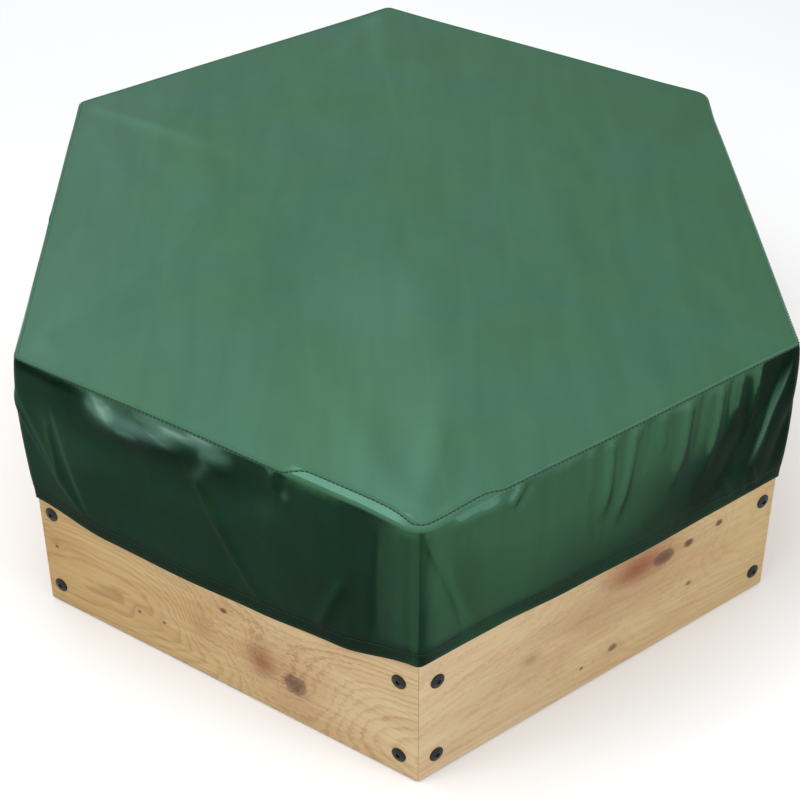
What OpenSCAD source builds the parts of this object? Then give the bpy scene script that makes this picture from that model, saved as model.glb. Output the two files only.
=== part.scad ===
// Hexagonal children's sandbox of two tiers of mitred boards, with corner
// posts, a ring of seat boards, a ground liner and a fitted fabric cover.
//
// Millimetres, +Z up. The origin is on the ground, under the middle of the
// box. The box is a hexagon with two corners on the Y axis and two straight
// sides that run along Y. Corners and sides are numbered anticlockwise from
// the back corner, and side i runs from corner i to corner i + 1.

/* [Box] */
// Width over the left and right side boards
frame_w = 960; // [700:1:1300]
// Depth from the front corner to the back corner
frame_d = 1400; // [1100:1:1800]
// Length of the left and right side boards, corner to corner
side_len = 700; // [500:1:850]

/* [Boards] */
// Thickness of the side boards
board_t = 20; // [14:0.5:30]
// Height of the lower side boards
lower_h = 194; // [140:1:240]
// Height of the upper side boards
upper_h = 174; // [140:1:240]
// Radius of the rounded long edges of the boards
edge_r = 2.5; // [1:0.5:4]
// Gap between two boards at a mitre or between two tiers
joint_gap = 0.4; // [0.2:0.1:1]

/* [Corner posts] */
// Length of the post face that lies on each board
post_leg = 60; // [45:1:90]
// Thickness of the post behind each board
post_t = 34; // [26:1:45]

/* [Seat] */
// Width of the seat boards
seat_w = 120; // [90:1:180]
// Thickness of the seat boards
seat_t = 22; // [16:1:30]
// How far the seat boards stand out past the side boards
seat_overhang = 2; // [0:0.5:6]

/* [Side screws] */
// Diameter of the button head
head_d = 20; // [14:0.5:24]
// Height of the button head
head_h = 3; // [2:0.5:5]
// Across flats of the hexagon socket in the head
socket_af = 6; // [4:0.5:8]
// Depth of the hexagon socket
socket_h = 1.8; // [1:0.1:1.9]
// Shank diameter
shank_d = 4.5; // [3.5:0.5:6]
// How deep the shank bites into the corner post
screw_bite = 12; // [8:1:20]
// Distance of a screw from the near edge of its board
screw_edge = 31; // [20:1:50]
// Distance of the lower boards' upper screws from the upper edge
lower_screw_drop = 43; // [20:1:60]

/* [Seat screws] */
// Diameter of the countersunk head
sunk_d = 10; // [8:0.5:12]
// Shank diameter
seat_shank_d = 5; // [4:0.5:6]
// Length, head included
seat_screw_l = 60; // [45:1:80]
// Distance from the inner corner of the boards, along the board
seat_screw_run = 42; // [34:1:55]
// Across flats of the hexagon socket in the head
seat_socket_af = 4; // [3:0.5:4]
// Depth of the hexagon socket
seat_socket_h = 2; // [1:0.5:2.5]

/* [Liner] */
// Thickness of the ground liner
liner_t = 1; // [0.5:0.1:2]
// Gap between the liner and the side boards
liner_gap = 0.5; // [0.3:0.1:0.9]

/* [Cover] */
// Thickness of the cover's fabric, seams and folds included
cover_t = 1.5; // [1:0.1:3]
// Gap between the skirt and whatever stands out furthest behind it
cover_gap = 0.6; // [0.5:0.1:3]
// Height of the hem above the ground
hem_z = 170; // [120:1:200]

/* [Fits] */
// Gap between two pieces that lie face to face
fit_gap = 0.2; // [0.1:0.1:0.5]
// Gap around a screw in its hole
hole_gap = 0.2; // [0.1:0.1:0.4]

/* [Hidden] */

// Side numbers
BACK_LEFT = 0;
LEFT = 1;
FRONT_LEFT = 2;
FRONT_RIGHT = 3;
RIGHT = 4;
BACK_RIGHT = 5;
SIDES = [0 : 5];

// Corners of the box at the outer faces of the side boards
CORNERS = [
    [0, frame_d / 2], [-frame_w / 2, side_len / 2],
    [-frame_w / 2, -side_len / 2], [0, -frame_d / 2],
    [frame_w / 2, -side_len / 2], [frame_w / 2, side_len / 2]
];

// Heights of the layers
upper_z = lower_h + joint_gap;
seat_z = upper_z + upper_h + fit_gap;
seat_top = seat_z + seat_t;
cover_z = seat_top + fit_gap * 2;
post_z = liner_t + fit_gap;
post_top = seat_z - fit_gap;

// The inner face of the skirt clears the seat boards and the screw heads
skirt_in = max(seat_overhang, head_h) + cover_gap;
skirt_out = skirt_in + cover_t;
skirt_top = cover_z - fit_gap;

// Gap between the tips of two screws that meet inside one corner post
tip_gap = 1.2;
// Length of a screw's pointed tip
point_h = 4;
// How far a cut reaches past the face that it goes through
over = 1;

// Colours
PINE = "BurlyWood";
BLACK = "DarkSlateGray";
GREEN = "SeaGreen";
GREY = "DimGray";

function unit(v) = v / norm(v);
function corner(i) = CORNERS[(i + 6) % 6];
// Direction along side i, and its outward direction
function along(i) = unit(corner(i + 1) - corner(i));
function outward(i) = let (d = along(i)) [d[1], -d[0]];
// Corner i of the hexagon that lies o outside the outer faces of the boards
function ring(i, o) =
    let (a = outward(i - 1), b = outward(i))
    corner(i) + (a + b) * o / (1 + a * b);
function outline(o) = [for (i = SIDES) ring(i, o)];
// Half of the angle between the two sides that meet at corner i
function half_angle(i) = 90 - acos(along(i - 1) * along(i)) / 2;
// Distance of a screw from the inner corner, so that tips stay apart
function screw_run(i) =
    let (a = half_angle(i))
    (screw_bite * cos(a) + shank_d / 2 + tip_gap) / sin(a);

// A w by h rectangle with its four corners rounded by flats
function rounded(w, h, r, n = 3) = [
    for (c = [[w - r, h - r, 0], [r, h - r, 90], [r, r, 180], [w - r, r, 270]])
        for (k = [0 : n])
            [c[0] + r * cos(c[2] + 90 * k / n), c[1] + r * sin(c[2] + 90 * k / n)]
];

// Plan of one mitred piece of side i, from o_out outside the boards to o_in
module mitred_plan(i, o_out, o_in, gap) {
    s = along(i) * gap / 2;
    polygon([
        ring(i, o_out) + s, ring(i + 1, o_out) - s,
        ring(i + 1, o_in) - s, ring(i, o_in) + s
    ]);
}

// A mitred board of side i with rounded long edges
module mitred_board(i, o_out, o_in, z, h) {
    d = along(i);
    len = norm(corner(i + 1) - corner(i)) + 4 * abs(o_out) + 4 * over;
    p = corner(i) - d * (2 * abs(o_out) + 2 * over);
    intersection() {
        translate([0, 0, z - over])
            linear_extrude(h + 2 * over)
                mitred_plan(i, o_out + over, o_in - over, joint_gap);
        translate([p[0], p[1], z])
            rotate([0, 0, atan2(d[1], d[0])])
                translate([0, -o_out, 0])
                    rotate([90, 0, 90])
                        linear_extrude(len)
                            polygon(rounded(o_out - o_in, h, edge_r));
    }
}

// Places children on side i: their +Z points outward, at the board's face
module on_side(p, i, z) {
    d = along(i);
    translate([p[0], p[1], z])
        rotate([0, 0, atan2(d[1], d[0])])
            rotate([90, 0, 0])
                children();
}

// The screws of side i at both ends and both heights of a board that
// stands at z: one a screw_edge above its lower edge, one drop below its top
module at_side_screws(i, z, h, drop) {
    d = along(i);
    n = outward(i) * board_t;
    ends = [
        ring(i, -board_t) + n + d * screw_run(i),
        ring(i + 1, -board_t) + n - d * screw_run(i + 1)
    ];
    for (p = ends)
        for (zz = [z + screw_edge, z + h - drop])
            on_side(p, i, zz)
                children();
}

// A hole for a side screw through its board and into its post
module side_screw_hole() {
    translate([0, 0, -board_t - screw_bite - over])
        cylinder(h = board_t + screw_bite + 2 * over, d = shank_d + 2 * hole_gap, $fn = 24);
}

// A button head screw, its head on the board's face and its shank inward
module side_screw() {
    // Radius of the ball that shapes the head above a short straight rim
    rim = head_h / 3;
    dome = head_h - rim;
    ball = (head_d * head_d / 4 + dome * dome) / (2 * dome);
    difference() {
        union() {
            intersection() {
                translate([0, 0, head_h - ball])
                    sphere(r = ball, $fn = 96);
                translate([0, 0, fit_gap / 2])
                    cylinder(h = head_h, d = head_d, $fn = 48);
            }
            translate([0, 0, -board_t - screw_bite + point_h])
                cylinder(h = board_t + screw_bite - point_h + rim, d = shank_d, $fn = 24);
            translate([0, 0, -board_t - screw_bite])
                cylinder(h = point_h, r1 = 0.4, r2 = shank_d / 2, $fn = 24);
        }
        translate([0, 0, head_h - socket_h])
            rotate([0, 0, 30])
                cylinder(h = socket_h + over, d = socket_af / cos(30), $fn = 6);
    }
}

// Where the two seat screws of side i stand, one in each post
function seat_screw_points(i) =
    let (n = outward(i) * (post_t / 2), d = along(i) * seat_screw_run)
    [ring(i, -board_t) - n + d, ring(i + 1, -board_t) - n - d];

// A countersunk screw with its head flush at z = 0, larger by g all round
module seat_screw(g = 0) {
    sink = (sunk_d - seat_shank_d) / 2;
    translate([0, 0, -sink])
        cylinder(h = sink, r1 = seat_shank_d / 2 + g, r2 = sunk_d / 2 + g, $fn = 32);
    translate([0, 0, -seat_screw_l - g])
        cylinder(h = seat_screw_l + g - sink / 2, d = seat_shank_d + 2 * g, $fn = 24);
}

// The hole for a seat screw, with a mouth that reaches out of the board
module seat_screw_hole() {
    seat_screw(hole_gap);
    cylinder(h = over, d = sunk_d + 2 * hole_gap, $fn = 32);
}

// The heads lie just below the face of the seat boards
module at_seat_screws(i) {
    for (p = seat_screw_points(i))
        translate([p[0], p[1], seat_top - fit_gap])
            children();
}

module side_board(i, z, h, drop) {
    color(PINE)
        difference() {
            mitred_board(i, 0, -board_t, z, h);
            at_side_screws(i, z, h, drop)
                side_screw_hole();
        }
}

module lower_board(i) {
    side_board(i, 0, lower_h, lower_screw_drop);
}

module upper_board(i) {
    side_board(i, upper_z, upper_h, screw_edge);
}

module corner_post(i) {
    a = -along(i - 1);
    b = along(i);
    na = -outward(i - 1);
    nb = -outward(i);
    p = ring(i, -board_t - fit_gap);
    color(PINE)
        difference() {
            translate([0, 0, post_z])
                linear_extrude(post_top - post_z)
                    polygon([
                        p, p + a * post_leg, p + a * post_leg + na * post_t,
                        p + b * post_leg + nb * post_t, p + b * post_leg
                    ]);
            for (s = [i - 1, i]) {
                k = (s + 6) % 6;
                at_side_screws(k, 0, lower_h, lower_screw_drop)
                    side_screw_hole();
                at_side_screws(k, upper_z, upper_h, screw_edge)
                    side_screw_hole();
                at_seat_screws(k)
                    seat_screw_hole();
            }
        }
}

module seat_board(i) {
    color(PINE)
        difference() {
            mitred_board(i, seat_overhang, seat_overhang - seat_w, seat_z, seat_t);
            at_seat_screws(i)
                seat_screw_hole();
        }
}

module side_screws(z, h, drop) {
    color(BLACK)
        for (i = SIDES)
            at_side_screws(i, z, h, drop)
                side_screw();
}

module seat_screws() {
    color(BLACK)
        for (i = SIDES)
            at_seat_screws(i)
                difference() {
                    seat_screw();
                    translate([0, 0, -seat_socket_h])
                        cylinder(h = seat_socket_h + over, d = seat_socket_af / cos(30), $fn = 6);
                }
}

module ground_liner() {
    color(GREY)
        linear_extrude(liner_t)
            polygon(outline(-board_t - liner_gap));
}

module cover_top_panel() {
    color(GREEN)
        translate([0, 0, cover_z])
            linear_extrude(cover_t)
                polygon(outline(skirt_out));
}

module cover_skirt(i) {
    color(GREEN)
        translate([0, 0, hem_z])
            linear_extrude(skirt_top - hem_z)
                mitred_plan(i, skirt_out, skirt_in, fit_gap);
}

lower_board(BACK_LEFT);  // lower_board_back_left
lower_board(LEFT);  // lower_board_left
lower_board(FRONT_LEFT);  // lower_board_front_left
lower_board(FRONT_RIGHT);  // lower_board_front_right
lower_board(RIGHT);  // lower_board_right
lower_board(BACK_RIGHT);  // lower_board_back_right
upper_board(BACK_LEFT);  // upper_board_back_left
upper_board(LEFT);  // upper_board_left
upper_board(FRONT_LEFT);  // upper_board_front_left
upper_board(FRONT_RIGHT);  // upper_board_front_right
upper_board(RIGHT);  // upper_board_right
upper_board(BACK_RIGHT);  // upper_board_back_right
corner_post(0);  // corner_post_back
corner_post(1);  // corner_post_back_left
corner_post(2);  // corner_post_front_left
corner_post(3);  // corner_post_front
corner_post(4);  // corner_post_front_right
corner_post(5);  // corner_post_back_right
seat_board(BACK_LEFT);  // seat_board_back_left
seat_board(LEFT);  // seat_board_left
seat_board(FRONT_LEFT);  // seat_board_front_left
seat_board(FRONT_RIGHT);  // seat_board_front_right
seat_board(RIGHT);  // seat_board_right
seat_board(BACK_RIGHT);  // seat_board_back_right
side_screws(0, lower_h, lower_screw_drop);  // side_screws_lower
side_screws(upper_z, upper_h, screw_edge);  // side_screws_upper
seat_screws();
ground_liner();
cover_top_panel();
cover_skirt(BACK_LEFT);  // cover_skirt_back_left
cover_skirt(LEFT);  // cover_skirt_left
cover_skirt(FRONT_LEFT);  // cover_skirt_front_left
cover_skirt(FRONT_RIGHT);  // cover_skirt_front_right
cover_skirt(RIGHT);  // cover_skirt_right
cover_skirt(BACK_RIGHT);  // cover_skirt_back_right
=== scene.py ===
"""Looks of a hexagonal timber sandbox with a fitted green cover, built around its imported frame.

Lengths are metres, except names that end in _mm. The box stands on the ground at the origin, with two of its
corners on the Y axis. Corners and sides are numbered anticlockwise from the back corner, and side i runs from
corner i to corner i + 1.
"""

import logging
import math
from dataclasses import dataclass, field
from enum import Enum, IntEnum
from typing import Any, Sequence

import bpy
import numpy as np
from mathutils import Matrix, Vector

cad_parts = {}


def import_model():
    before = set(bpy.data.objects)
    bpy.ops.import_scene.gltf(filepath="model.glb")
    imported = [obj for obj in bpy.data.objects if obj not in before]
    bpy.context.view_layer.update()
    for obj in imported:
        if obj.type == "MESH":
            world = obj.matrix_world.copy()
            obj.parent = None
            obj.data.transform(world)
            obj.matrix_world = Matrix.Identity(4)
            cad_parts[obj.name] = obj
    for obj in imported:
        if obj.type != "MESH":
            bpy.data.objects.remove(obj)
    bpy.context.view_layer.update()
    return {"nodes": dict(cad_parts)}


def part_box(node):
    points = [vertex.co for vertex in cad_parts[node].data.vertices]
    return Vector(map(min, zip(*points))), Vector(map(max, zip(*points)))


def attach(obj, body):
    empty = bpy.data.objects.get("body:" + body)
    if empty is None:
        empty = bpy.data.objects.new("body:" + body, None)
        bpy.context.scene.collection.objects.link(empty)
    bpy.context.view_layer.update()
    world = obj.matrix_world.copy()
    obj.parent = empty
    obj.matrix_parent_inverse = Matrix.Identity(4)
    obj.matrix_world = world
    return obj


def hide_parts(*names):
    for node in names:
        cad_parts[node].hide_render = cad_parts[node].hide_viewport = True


LOG = logging.getLogger("sandbox")
MM = 0.001

# Places on the cover's scale of painted light and shade, which runs from 0 in the deepest hollow to 1.
SKIRT_SHADE_LEVEL = 0.2
TOP_LIGHT_LEVEL = 0.8


class Side(IntEnum):
    """The six sides of the box, in order."""

    BACK_LEFT = 0
    LEFT = 1
    FRONT_LEFT = 2
    FRONT_RIGHT = 3
    RIGHT = 4
    BACK_RIGHT = 5


class Slot(str, Enum):
    """The record's material slots."""

    SIDE_BOARD = "side_board_pine"
    POST = "post_pine"
    SEAT_BOARD = "seat_board_pine"
    SCREW = "black_screw"
    LINER = "liner_fabric"
    COVER = "cover_fabric"


# ---------------------------------------------------------------- finishes


def linear(hex_colour: str, alpha: float = 1.0) -> tuple[float, float, float, float]:
    """Turns an sRGB hex value into a linear colour.

    Args:
        hex_colour: Six hexadecimal digits, with or without a leading #.
        alpha: The fourth channel.

    Returns:
        Red, green, blue and alpha, each from 0 to 1.
    """
    digits = hex_colour.lstrip("#")
    parts = [int(digits[i : i + 2], 16) / 255 for i in (0, 2, 4)]
    r, g, b = (c / 12.92 if c <= 0.04045 else ((c + 0.055) / 1.055) ** 2.4 for c in parts)
    return r, g, b, alpha


def add_node(
    tree: bpy.types.NodeTree, kind: str, *values: Any, inputs: dict[str, Any] | None = None, **settings: Any
) -> bpy.types.Node:
    """Adds a node, sets its properties, and sets or links its inputs.

    An input gets an output socket, a node whose first output is meant, or a plain value.

    Args:
        tree: The node tree that gets the node.
        kind: The node's type, without the ShaderNode that all of them start with.
        values: What the node's first inputs get, in order.
        inputs: What other inputs get, by name.
        settings: The node's own properties.

    Returns:
        The new node.
    """
    node = tree.nodes.new("ShaderNode" + kind)
    for name, value in settings.items():
        setattr(node, name, value)
    for key, value in (*enumerate(values), *(inputs or {}).items()):
        if isinstance(value, bpy.types.Node):
            value = value.outputs[0]
        if isinstance(value, bpy.types.NodeSocket):
            tree.links.new(value, node.inputs[key])
        else:
            node.inputs[key].default_value = value
    return node


def fill_ramp(node: bpy.types.Node, stops: Sequence[tuple[float, float]]) -> bpy.types.Node:
    """Gives a colour ramp its greys.

    Args:
        node: The colour ramp node.
        stops: Position and brightness of each stop, in order.

    Returns:
        The node.
    """
    elements = node.color_ramp.elements
    while len(elements) < len(stops):
        elements.new(1.0)
    for element, (position, grey) in zip(elements, stops):
        element.position = position
        element.color = (grey, grey, grey, 1)
    return node


@dataclass
class Finish:
    """A material for one real finish: its tree, and the shader that every finish ends in."""

    name: str
    material: bpy.types.Material = field(init=False, repr=False)
    tree: bpy.types.NodeTree = field(init=False, repr=False)

    def __post_init__(self) -> None:
        """Starts an empty node tree and builds the finish in it."""
        self.material = bpy.data.materials.new(self.name)
        self.material.use_nodes = True
        self.tree = self.material.node_tree
        self.tree.nodes.clear()
        self.build()

    def build(self) -> None:
        """Adds the finish's nodes."""
        raise NotImplementedError

    def add(
        self, kind: str, *values: Any, inputs: dict[str, Any] | None = None, **settings: Any
    ) -> bpy.types.Node:
        """Adds a node to this finish's tree, as add_node does."""
        return add_node(self.tree, kind, *values, inputs=inputs, **settings)

    def surface(self, inputs: dict[str, Any]) -> None:
        """Ends the tree in a principled shader with these inputs."""
        self.add("OutputMaterial", self.add("BsdfPrincipled", inputs=inputs))

    def dress(self, *pieces: bpy.types.Object) -> None:
        """Gives pieces this material in each of their slots.

        Args:
            pieces: The pieces.
        """
        for piece in pieces:
            if not piece.material_slots:
                piece.data.materials.append(self.material)
            for slot in piece.material_slots:
                slot.material = self.material


@dataclass(frozen=True)
class Knot:
    """A knot in a board's outer face.

    along_mm runs along the board from its left end as seen from outside, up_mm from its lower edge. halo is
    how much the wood around it reddens, depth how dark its heart is, and stretch how much longer than high it
    is.
    """

    along_mm: float
    up_mm: float
    radius_mm: float
    halo: float = 0.5
    depth: float = 1.0
    stretch: float = 1.35


@dataclass
class PlanedPine(Finish):
    """Planed, oiled softwood: honey earlywood, thin darker latewood lines, knots the grain flows round."""

    angle: float = 0.0
    origin: tuple[float, float, float] = (0.0, 0.0, 0.0)
    knots: tuple[Knot, ...] = ()
    # How far the tree's pith lies behind the face, and how far up the board.
    pith_mm: tuple[float, float] = (70.0, 90.0)
    taper: float = 0.05
    ring_mm: float = 5.0
    pale: str = "#C8AA7C"
    late: str = "#96693A"
    warm: str = "#B27C4A"
    light: str = "#D6BE96"
    reddened: str = "#84471C"
    bark: str = "#2C1A10"
    darkening_tint: str = "#E3D8B4"
    seed: float = 0.0
    contrast: float = 0.62
    length_mm: float = 600.0
    # How much darker the board is made towards its left and right ends.
    end_darkening: tuple[float, float] = (0.4, 0.4)

    def build(self) -> None:
        """Adds the growth rings, fibres, knots and oil sheen."""
        # Millimetres along the grain, into the board and up it.
        place = self.add("TexCoord").outputs["Object"]
        shift = self.add("VectorMath", place, self.origin, operation="SUBTRACT")
        turned = {"Vector": shift, "Axis": (0, 0, 1), "Angle": -self.angle}
        grain = self.add("VectorRotate", inputs=turned, rotation_type="AXIS_ANGLE")
        grain = self.add("VectorMath", grain, inputs={"Scale": 1 / MM}, operation="SCALE")
        along, inward, up = self.add("SeparateXYZ", grain).outputs

        slow = {"Vector": self.stretched(grain, (420, 900, 900), 1.0), "Scale": 1.0, "Detail": 1.0}
        drift = self.add("Math", self.add("TexNoise", inputs=slow), 0.5, operation="SUBTRACT")
        uneven = {"Vector": self.stretched(grain, (170, 46, 46), 5.0), "Scale": 1.0, "Detail": 2.5}
        wobble = self.add("Math", self.add("TexNoise", inputs=uneven), 0.5, operation="SUBTRACT")
        gnarled = {"Vector": self.stretched(grain, (7, 5, 5), 3.0), "Scale": 1.0, "Detail": 3.0}
        knurl = self.add("TexNoise", inputs=gnarled)
        radius = self.pith_distance(along, inward, up, drift, wobble)
        radius, core, halo, rim = self.knot_marks(along, up, wobble, knurl, radius)

        # Fibres are 0.05 mm wide; they are drawn as streaks 2 mm wide, as coarse as they need to be to show.
        fine = {"Vector": self.stretched(grain, (60, 2, 2), 9.0), "Scale": 1.0, "Detail": 4.0}
        fibre = self.add("TexNoise", inputs=fine | {"Roughness": 0.7})
        long = {"Vector": self.stretched(grain, (230, 8, 8), 17.0), "Scale": 1.0, "Detail": 3.0}
        streak = self.add("TexNoise", inputs=long)
        broad = {"Vector": self.stretched(grain, (200, 45, 45), 13.0), "Scale": 1.0, "Detail": 2.0}
        patch = self.add("TexNoise", inputs=broad)

        ring = self.latewood(radius, fibre, patch)
        shade = self.add("Math", ring, self.contrast, 0.08, operation="MULTIPLY_ADD")
        uneven_fibre = self.add("Math", fibre, 0.5, operation="SUBTRACT")
        shade = self.add("Math", uneven_fibre, 1.15, shade, operation="MULTIPLY_ADD")
        uneven_streak = self.add("Math", streak, 0.5, operation="SUBTRACT")
        shade = self.add("Math", uneven_streak, 0.95, shade, operation="MULTIPLY_ADD", use_clamp=True)
        colour = self.add("MixRGB", shade, linear(self.pale), linear(self.late))
        warmth = self.add("Math", patch, 2.0, -0.85, operation="MULTIPLY_ADD", use_clamp=True)
        warmth = self.add("Math", warmth, 0.5, operation="MULTIPLY")
        colour = self.add("MixRGB", warmth, colour, linear(self.warm))
        bleach = self.add("Math", streak, 2.4, -1.35, operation="MULTIPLY_ADD", use_clamp=True)
        bleach = self.add("Math", bleach, 0.5, operation="MULTIPLY")
        colour = self.add("MixRGB", bleach, colour, linear(self.light))
        streaky = self.add("Math", fibre, 1.4, 0.3, operation="MULTIPLY_ADD", use_clamp=True)
        glow = self.add("Math", halo, streaky, operation="MULTIPLY")
        colour = self.add("MixRGB", glow, colour, linear(self.reddened))
        heart = self.add("MixRGB", knurl, linear("#6A3E20"), linear("#27160C"))
        colour = self.add("MixRGB", self.add("Math", core, 0.92, operation="MULTIPLY"), colour, heart)
        gaps = self.add("Math", knurl, 2.6, -0.5, operation="MULTIPLY_ADD", use_clamp=True)
        broken = self.add("Math", rim, gaps, operation="MULTIPLY")
        broken = self.add("Math", broken, 0.8, operation="MULTIPLY")
        colour = self.add("MixRGB", broken, colour, linear(self.bark))
        # Makes the board darker towards its ends.
        change = (self.end_darkening[1] - self.end_darkening[0]) / self.length_mm
        end_share = self.add("Math", along, change, self.end_darkening[0], operation="MULTIPLY_ADD", use_clamp=True)
        colour = self.add("MixRGB", end_share, colour, linear(self.darkening_tint), blend_type="MULTIPLY")

        height = self.add("Math", fibre, 0.3, operation="MULTIPLY")
        height = self.add("Math", shade, -0.6, height, operation="MULTIPLY_ADD")
        bump = self.add("Bump", inputs={"Height": height, "Strength": 0.22, "Distance": 0.4 * MM})
        rough = self.add("Math", fibre, 0.18, 0.42, operation="MULTIPLY_ADD")
        look = {"Base Color": colour, "Roughness": rough, "Normal": bump}
        self.surface(look | {"IOR": 1.48, "Specular IOR Level": 0.38})

    def stretched(
        self, grain: bpy.types.Node, scale_mm: tuple[float, float, float], offset: float
    ) -> bpy.types.Node:
        """Makes the coordinates for a pattern in the wood.

        Args:
            grain: Millimetres along the grain, into the board and up it.
            scale_mm: The pattern's size in each of these directions.
            offset: A number that sets this pattern apart from the finish's others.

        Returns:
            The coordinates, moved for this board.
        """
        vector = self.add("VectorMath", grain, tuple(1 / s for s in scale_mm), operation="MULTIPLY")
        move = (self.seed * 7.3 + offset,) * 3
        return self.add("VectorMath", vector, move, operation="ADD")

    def pith_distance(
        self,
        along: bpy.types.NodeSocket,
        inward: bpy.types.NodeSocket,
        up: bpy.types.NodeSocket,
        drift: bpy.types.Node,
        wobble: bpy.types.Node,
    ) -> bpy.types.Node:
        """Works out the distance from a pith that drifts along behind the board, so flat-sawn arches show.

        Args:
            along: Millimetres along the grain.
            inward: Millimetres into the board.
            up: Millimetres up the board.
            drift: Noise that moves the pith.
            wobble: Noise that makes the rings uneven.

        Returns:
            The distance in millimetres.
        """
        behind = self.add("Math", along, self.taper, self.pith_mm[0], operation="MULTIPLY_ADD")
        behind = self.add("Math", drift, 60.0, behind, operation="MULTIPLY_ADD")
        rise = self.add("Math", up, self.pith_mm[1], operation="SUBTRACT")
        rise = self.add("Math", drift, 90.0, rise, operation="MULTIPLY_ADD")
        depth = self.add("Math", behind, inward, operation="SUBTRACT")
        square = self.add("Math", depth, depth, operation="MULTIPLY")
        square = self.add("Math", rise, rise, square, operation="MULTIPLY_ADD")
        radius = self.add("Math", square, operation="SQRT")
        return self.add("Math", wobble, 16.0, radius, operation="MULTIPLY_ADD")

    def knot_marks(
        self,
        along: bpy.types.NodeSocket,
        up: bpy.types.NodeSocket,
        wobble: bpy.types.Node,
        knurl: bpy.types.Node,
        radius: bpy.types.Node,
    ) -> tuple[Any, Any, Any, Any]:
        """Adds the board's knots.

        Args:
            along: Millimetres along the grain.
            up: Millimetres up the board.
            wobble: Noise that makes the knots' outlines uneven.
            knurl: Finer noise that does the same.
            radius: The distance from the pith, which sets the rings.

        Returns:
            The distance from the pith, pushed out so that the rings flow round the knots, and how far each
            place is a knot's heart, its reddened surroundings and its dark rim.
        """
        core: Any = 0.0
        halo: Any = 0.0
        rim: Any = 0.0
        rough = self.add("Math", knurl, 0.5, operation="SUBTRACT")
        for knot in self.knots:
            size = knot.radius_mm
            dx = self.add("Math", along, knot.along_mm, operation="SUBTRACT")
            dx = self.add("Math", dx, 1 / knot.stretch, operation="MULTIPLY")
            dz = self.add("Math", up, knot.up_mm, operation="SUBTRACT")
            square = self.add("Math", dz, dz, operation="MULTIPLY")
            square = self.add("Math", dx, dx, square, operation="MULTIPLY_ADD")
            near = self.add("Math", square, operation="SQRT")
            near = self.add("Math", wobble, size * 0.9, near, operation="MULTIPLY_ADD")
            near = self.add("Math", rough, size * 1.2, near, operation="MULTIPLY_ADD")
            far = self.add("Math", near, size, operation="DIVIDE")
            far_square = self.add("Math", far, far, operation="MULTIPLY")
            fall = self.add("Math", far_square, -0.10, operation="MULTIPLY")
            fall = self.add("Math", fall, operation="EXPONENT")
            bend = self.add("Math", far_square, -0.035, operation="MULTIPLY")
            bend = self.add("Math", bend, operation="EXPONENT")
            radius = self.add("Math", bend, size * 2.6, radius, operation="MULTIPLY_ADD")
            inside = self.add("Math", far, 2.0, operation="MULTIPLY")
            inside = self.add("Math", 2.1, inside, operation="SUBTRACT", use_clamp=True)
            inside = self.add("Math", inside, knot.depth, operation="MULTIPLY")
            core = self.add("Math", core, inside, operation="MAXIMUM")
            red = self.add("Math", fall, knot.halo, operation="MULTIPLY")
            halo = self.add("Math", halo, red, operation="MAXIMUM")
            edge = self.add("Math", far, 0.95, operation="SUBTRACT")
            edge = self.add("Math", edge, operation="ABSOLUTE")
            edge = self.add("Math", edge, 3.0, operation="MULTIPLY")
            edge = self.add("Math", 1.0, edge, operation="SUBTRACT", use_clamp=True)
            edge = self.add("Math", edge, knot.depth, operation="MULTIPLY")
            rim = self.add("Math", rim, edge, operation="MAXIMUM")
        return radius, core, halo, rim

    def latewood(
        self, radius: bpy.types.Node, fibre: bpy.types.Node, patch: bpy.types.Node
    ) -> bpy.types.Node:
        """Draws the dark line at the end of each year's growth.

        Args:
            radius: The distance from the pith in millimetres.
            fibre: Noise along the fibres, which frays the lines.
            patch: Broad noise, which makes them stronger in places.

        Returns:
            How far each place is latewood, from 0 to 1.
        """
        years = self.add("Math", radius, self.ring_mm, operation="DIVIDE")
        turn = self.add("Math", fibre, 0.35, years, operation="MULTIPLY_ADD")
        turn = self.add("Math", turn, operation="FRACT")
        stops = [(0.0, 0.0), (0.45, 0.12), (0.84, 1.0), (0.93, 0.7), (1.0, 0.0)]
        ring = fill_ramp(self.add("ValToRGB", turn), stops)
        # Some years grow darker latewood than others.
        span = self.add("Math", radius, self.ring_mm * 2.6, operation="DIVIDE")
        year = self.add("TexNoise", inputs={"W": span, "Scale": 1.0}, noise_dimensions="1D")
        strength = self.add("Math", year, 1.6, -0.15, operation="MULTIPLY_ADD", use_clamp=True)
        ring = self.add("Math", ring, strength, operation="MULTIPLY")
        spread = self.add("Math", patch, 1.2, 0.2, operation="MULTIPLY_ADD", use_clamp=True)
        return self.add("Math", ring, spread, operation="MULTIPLY")


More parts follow.
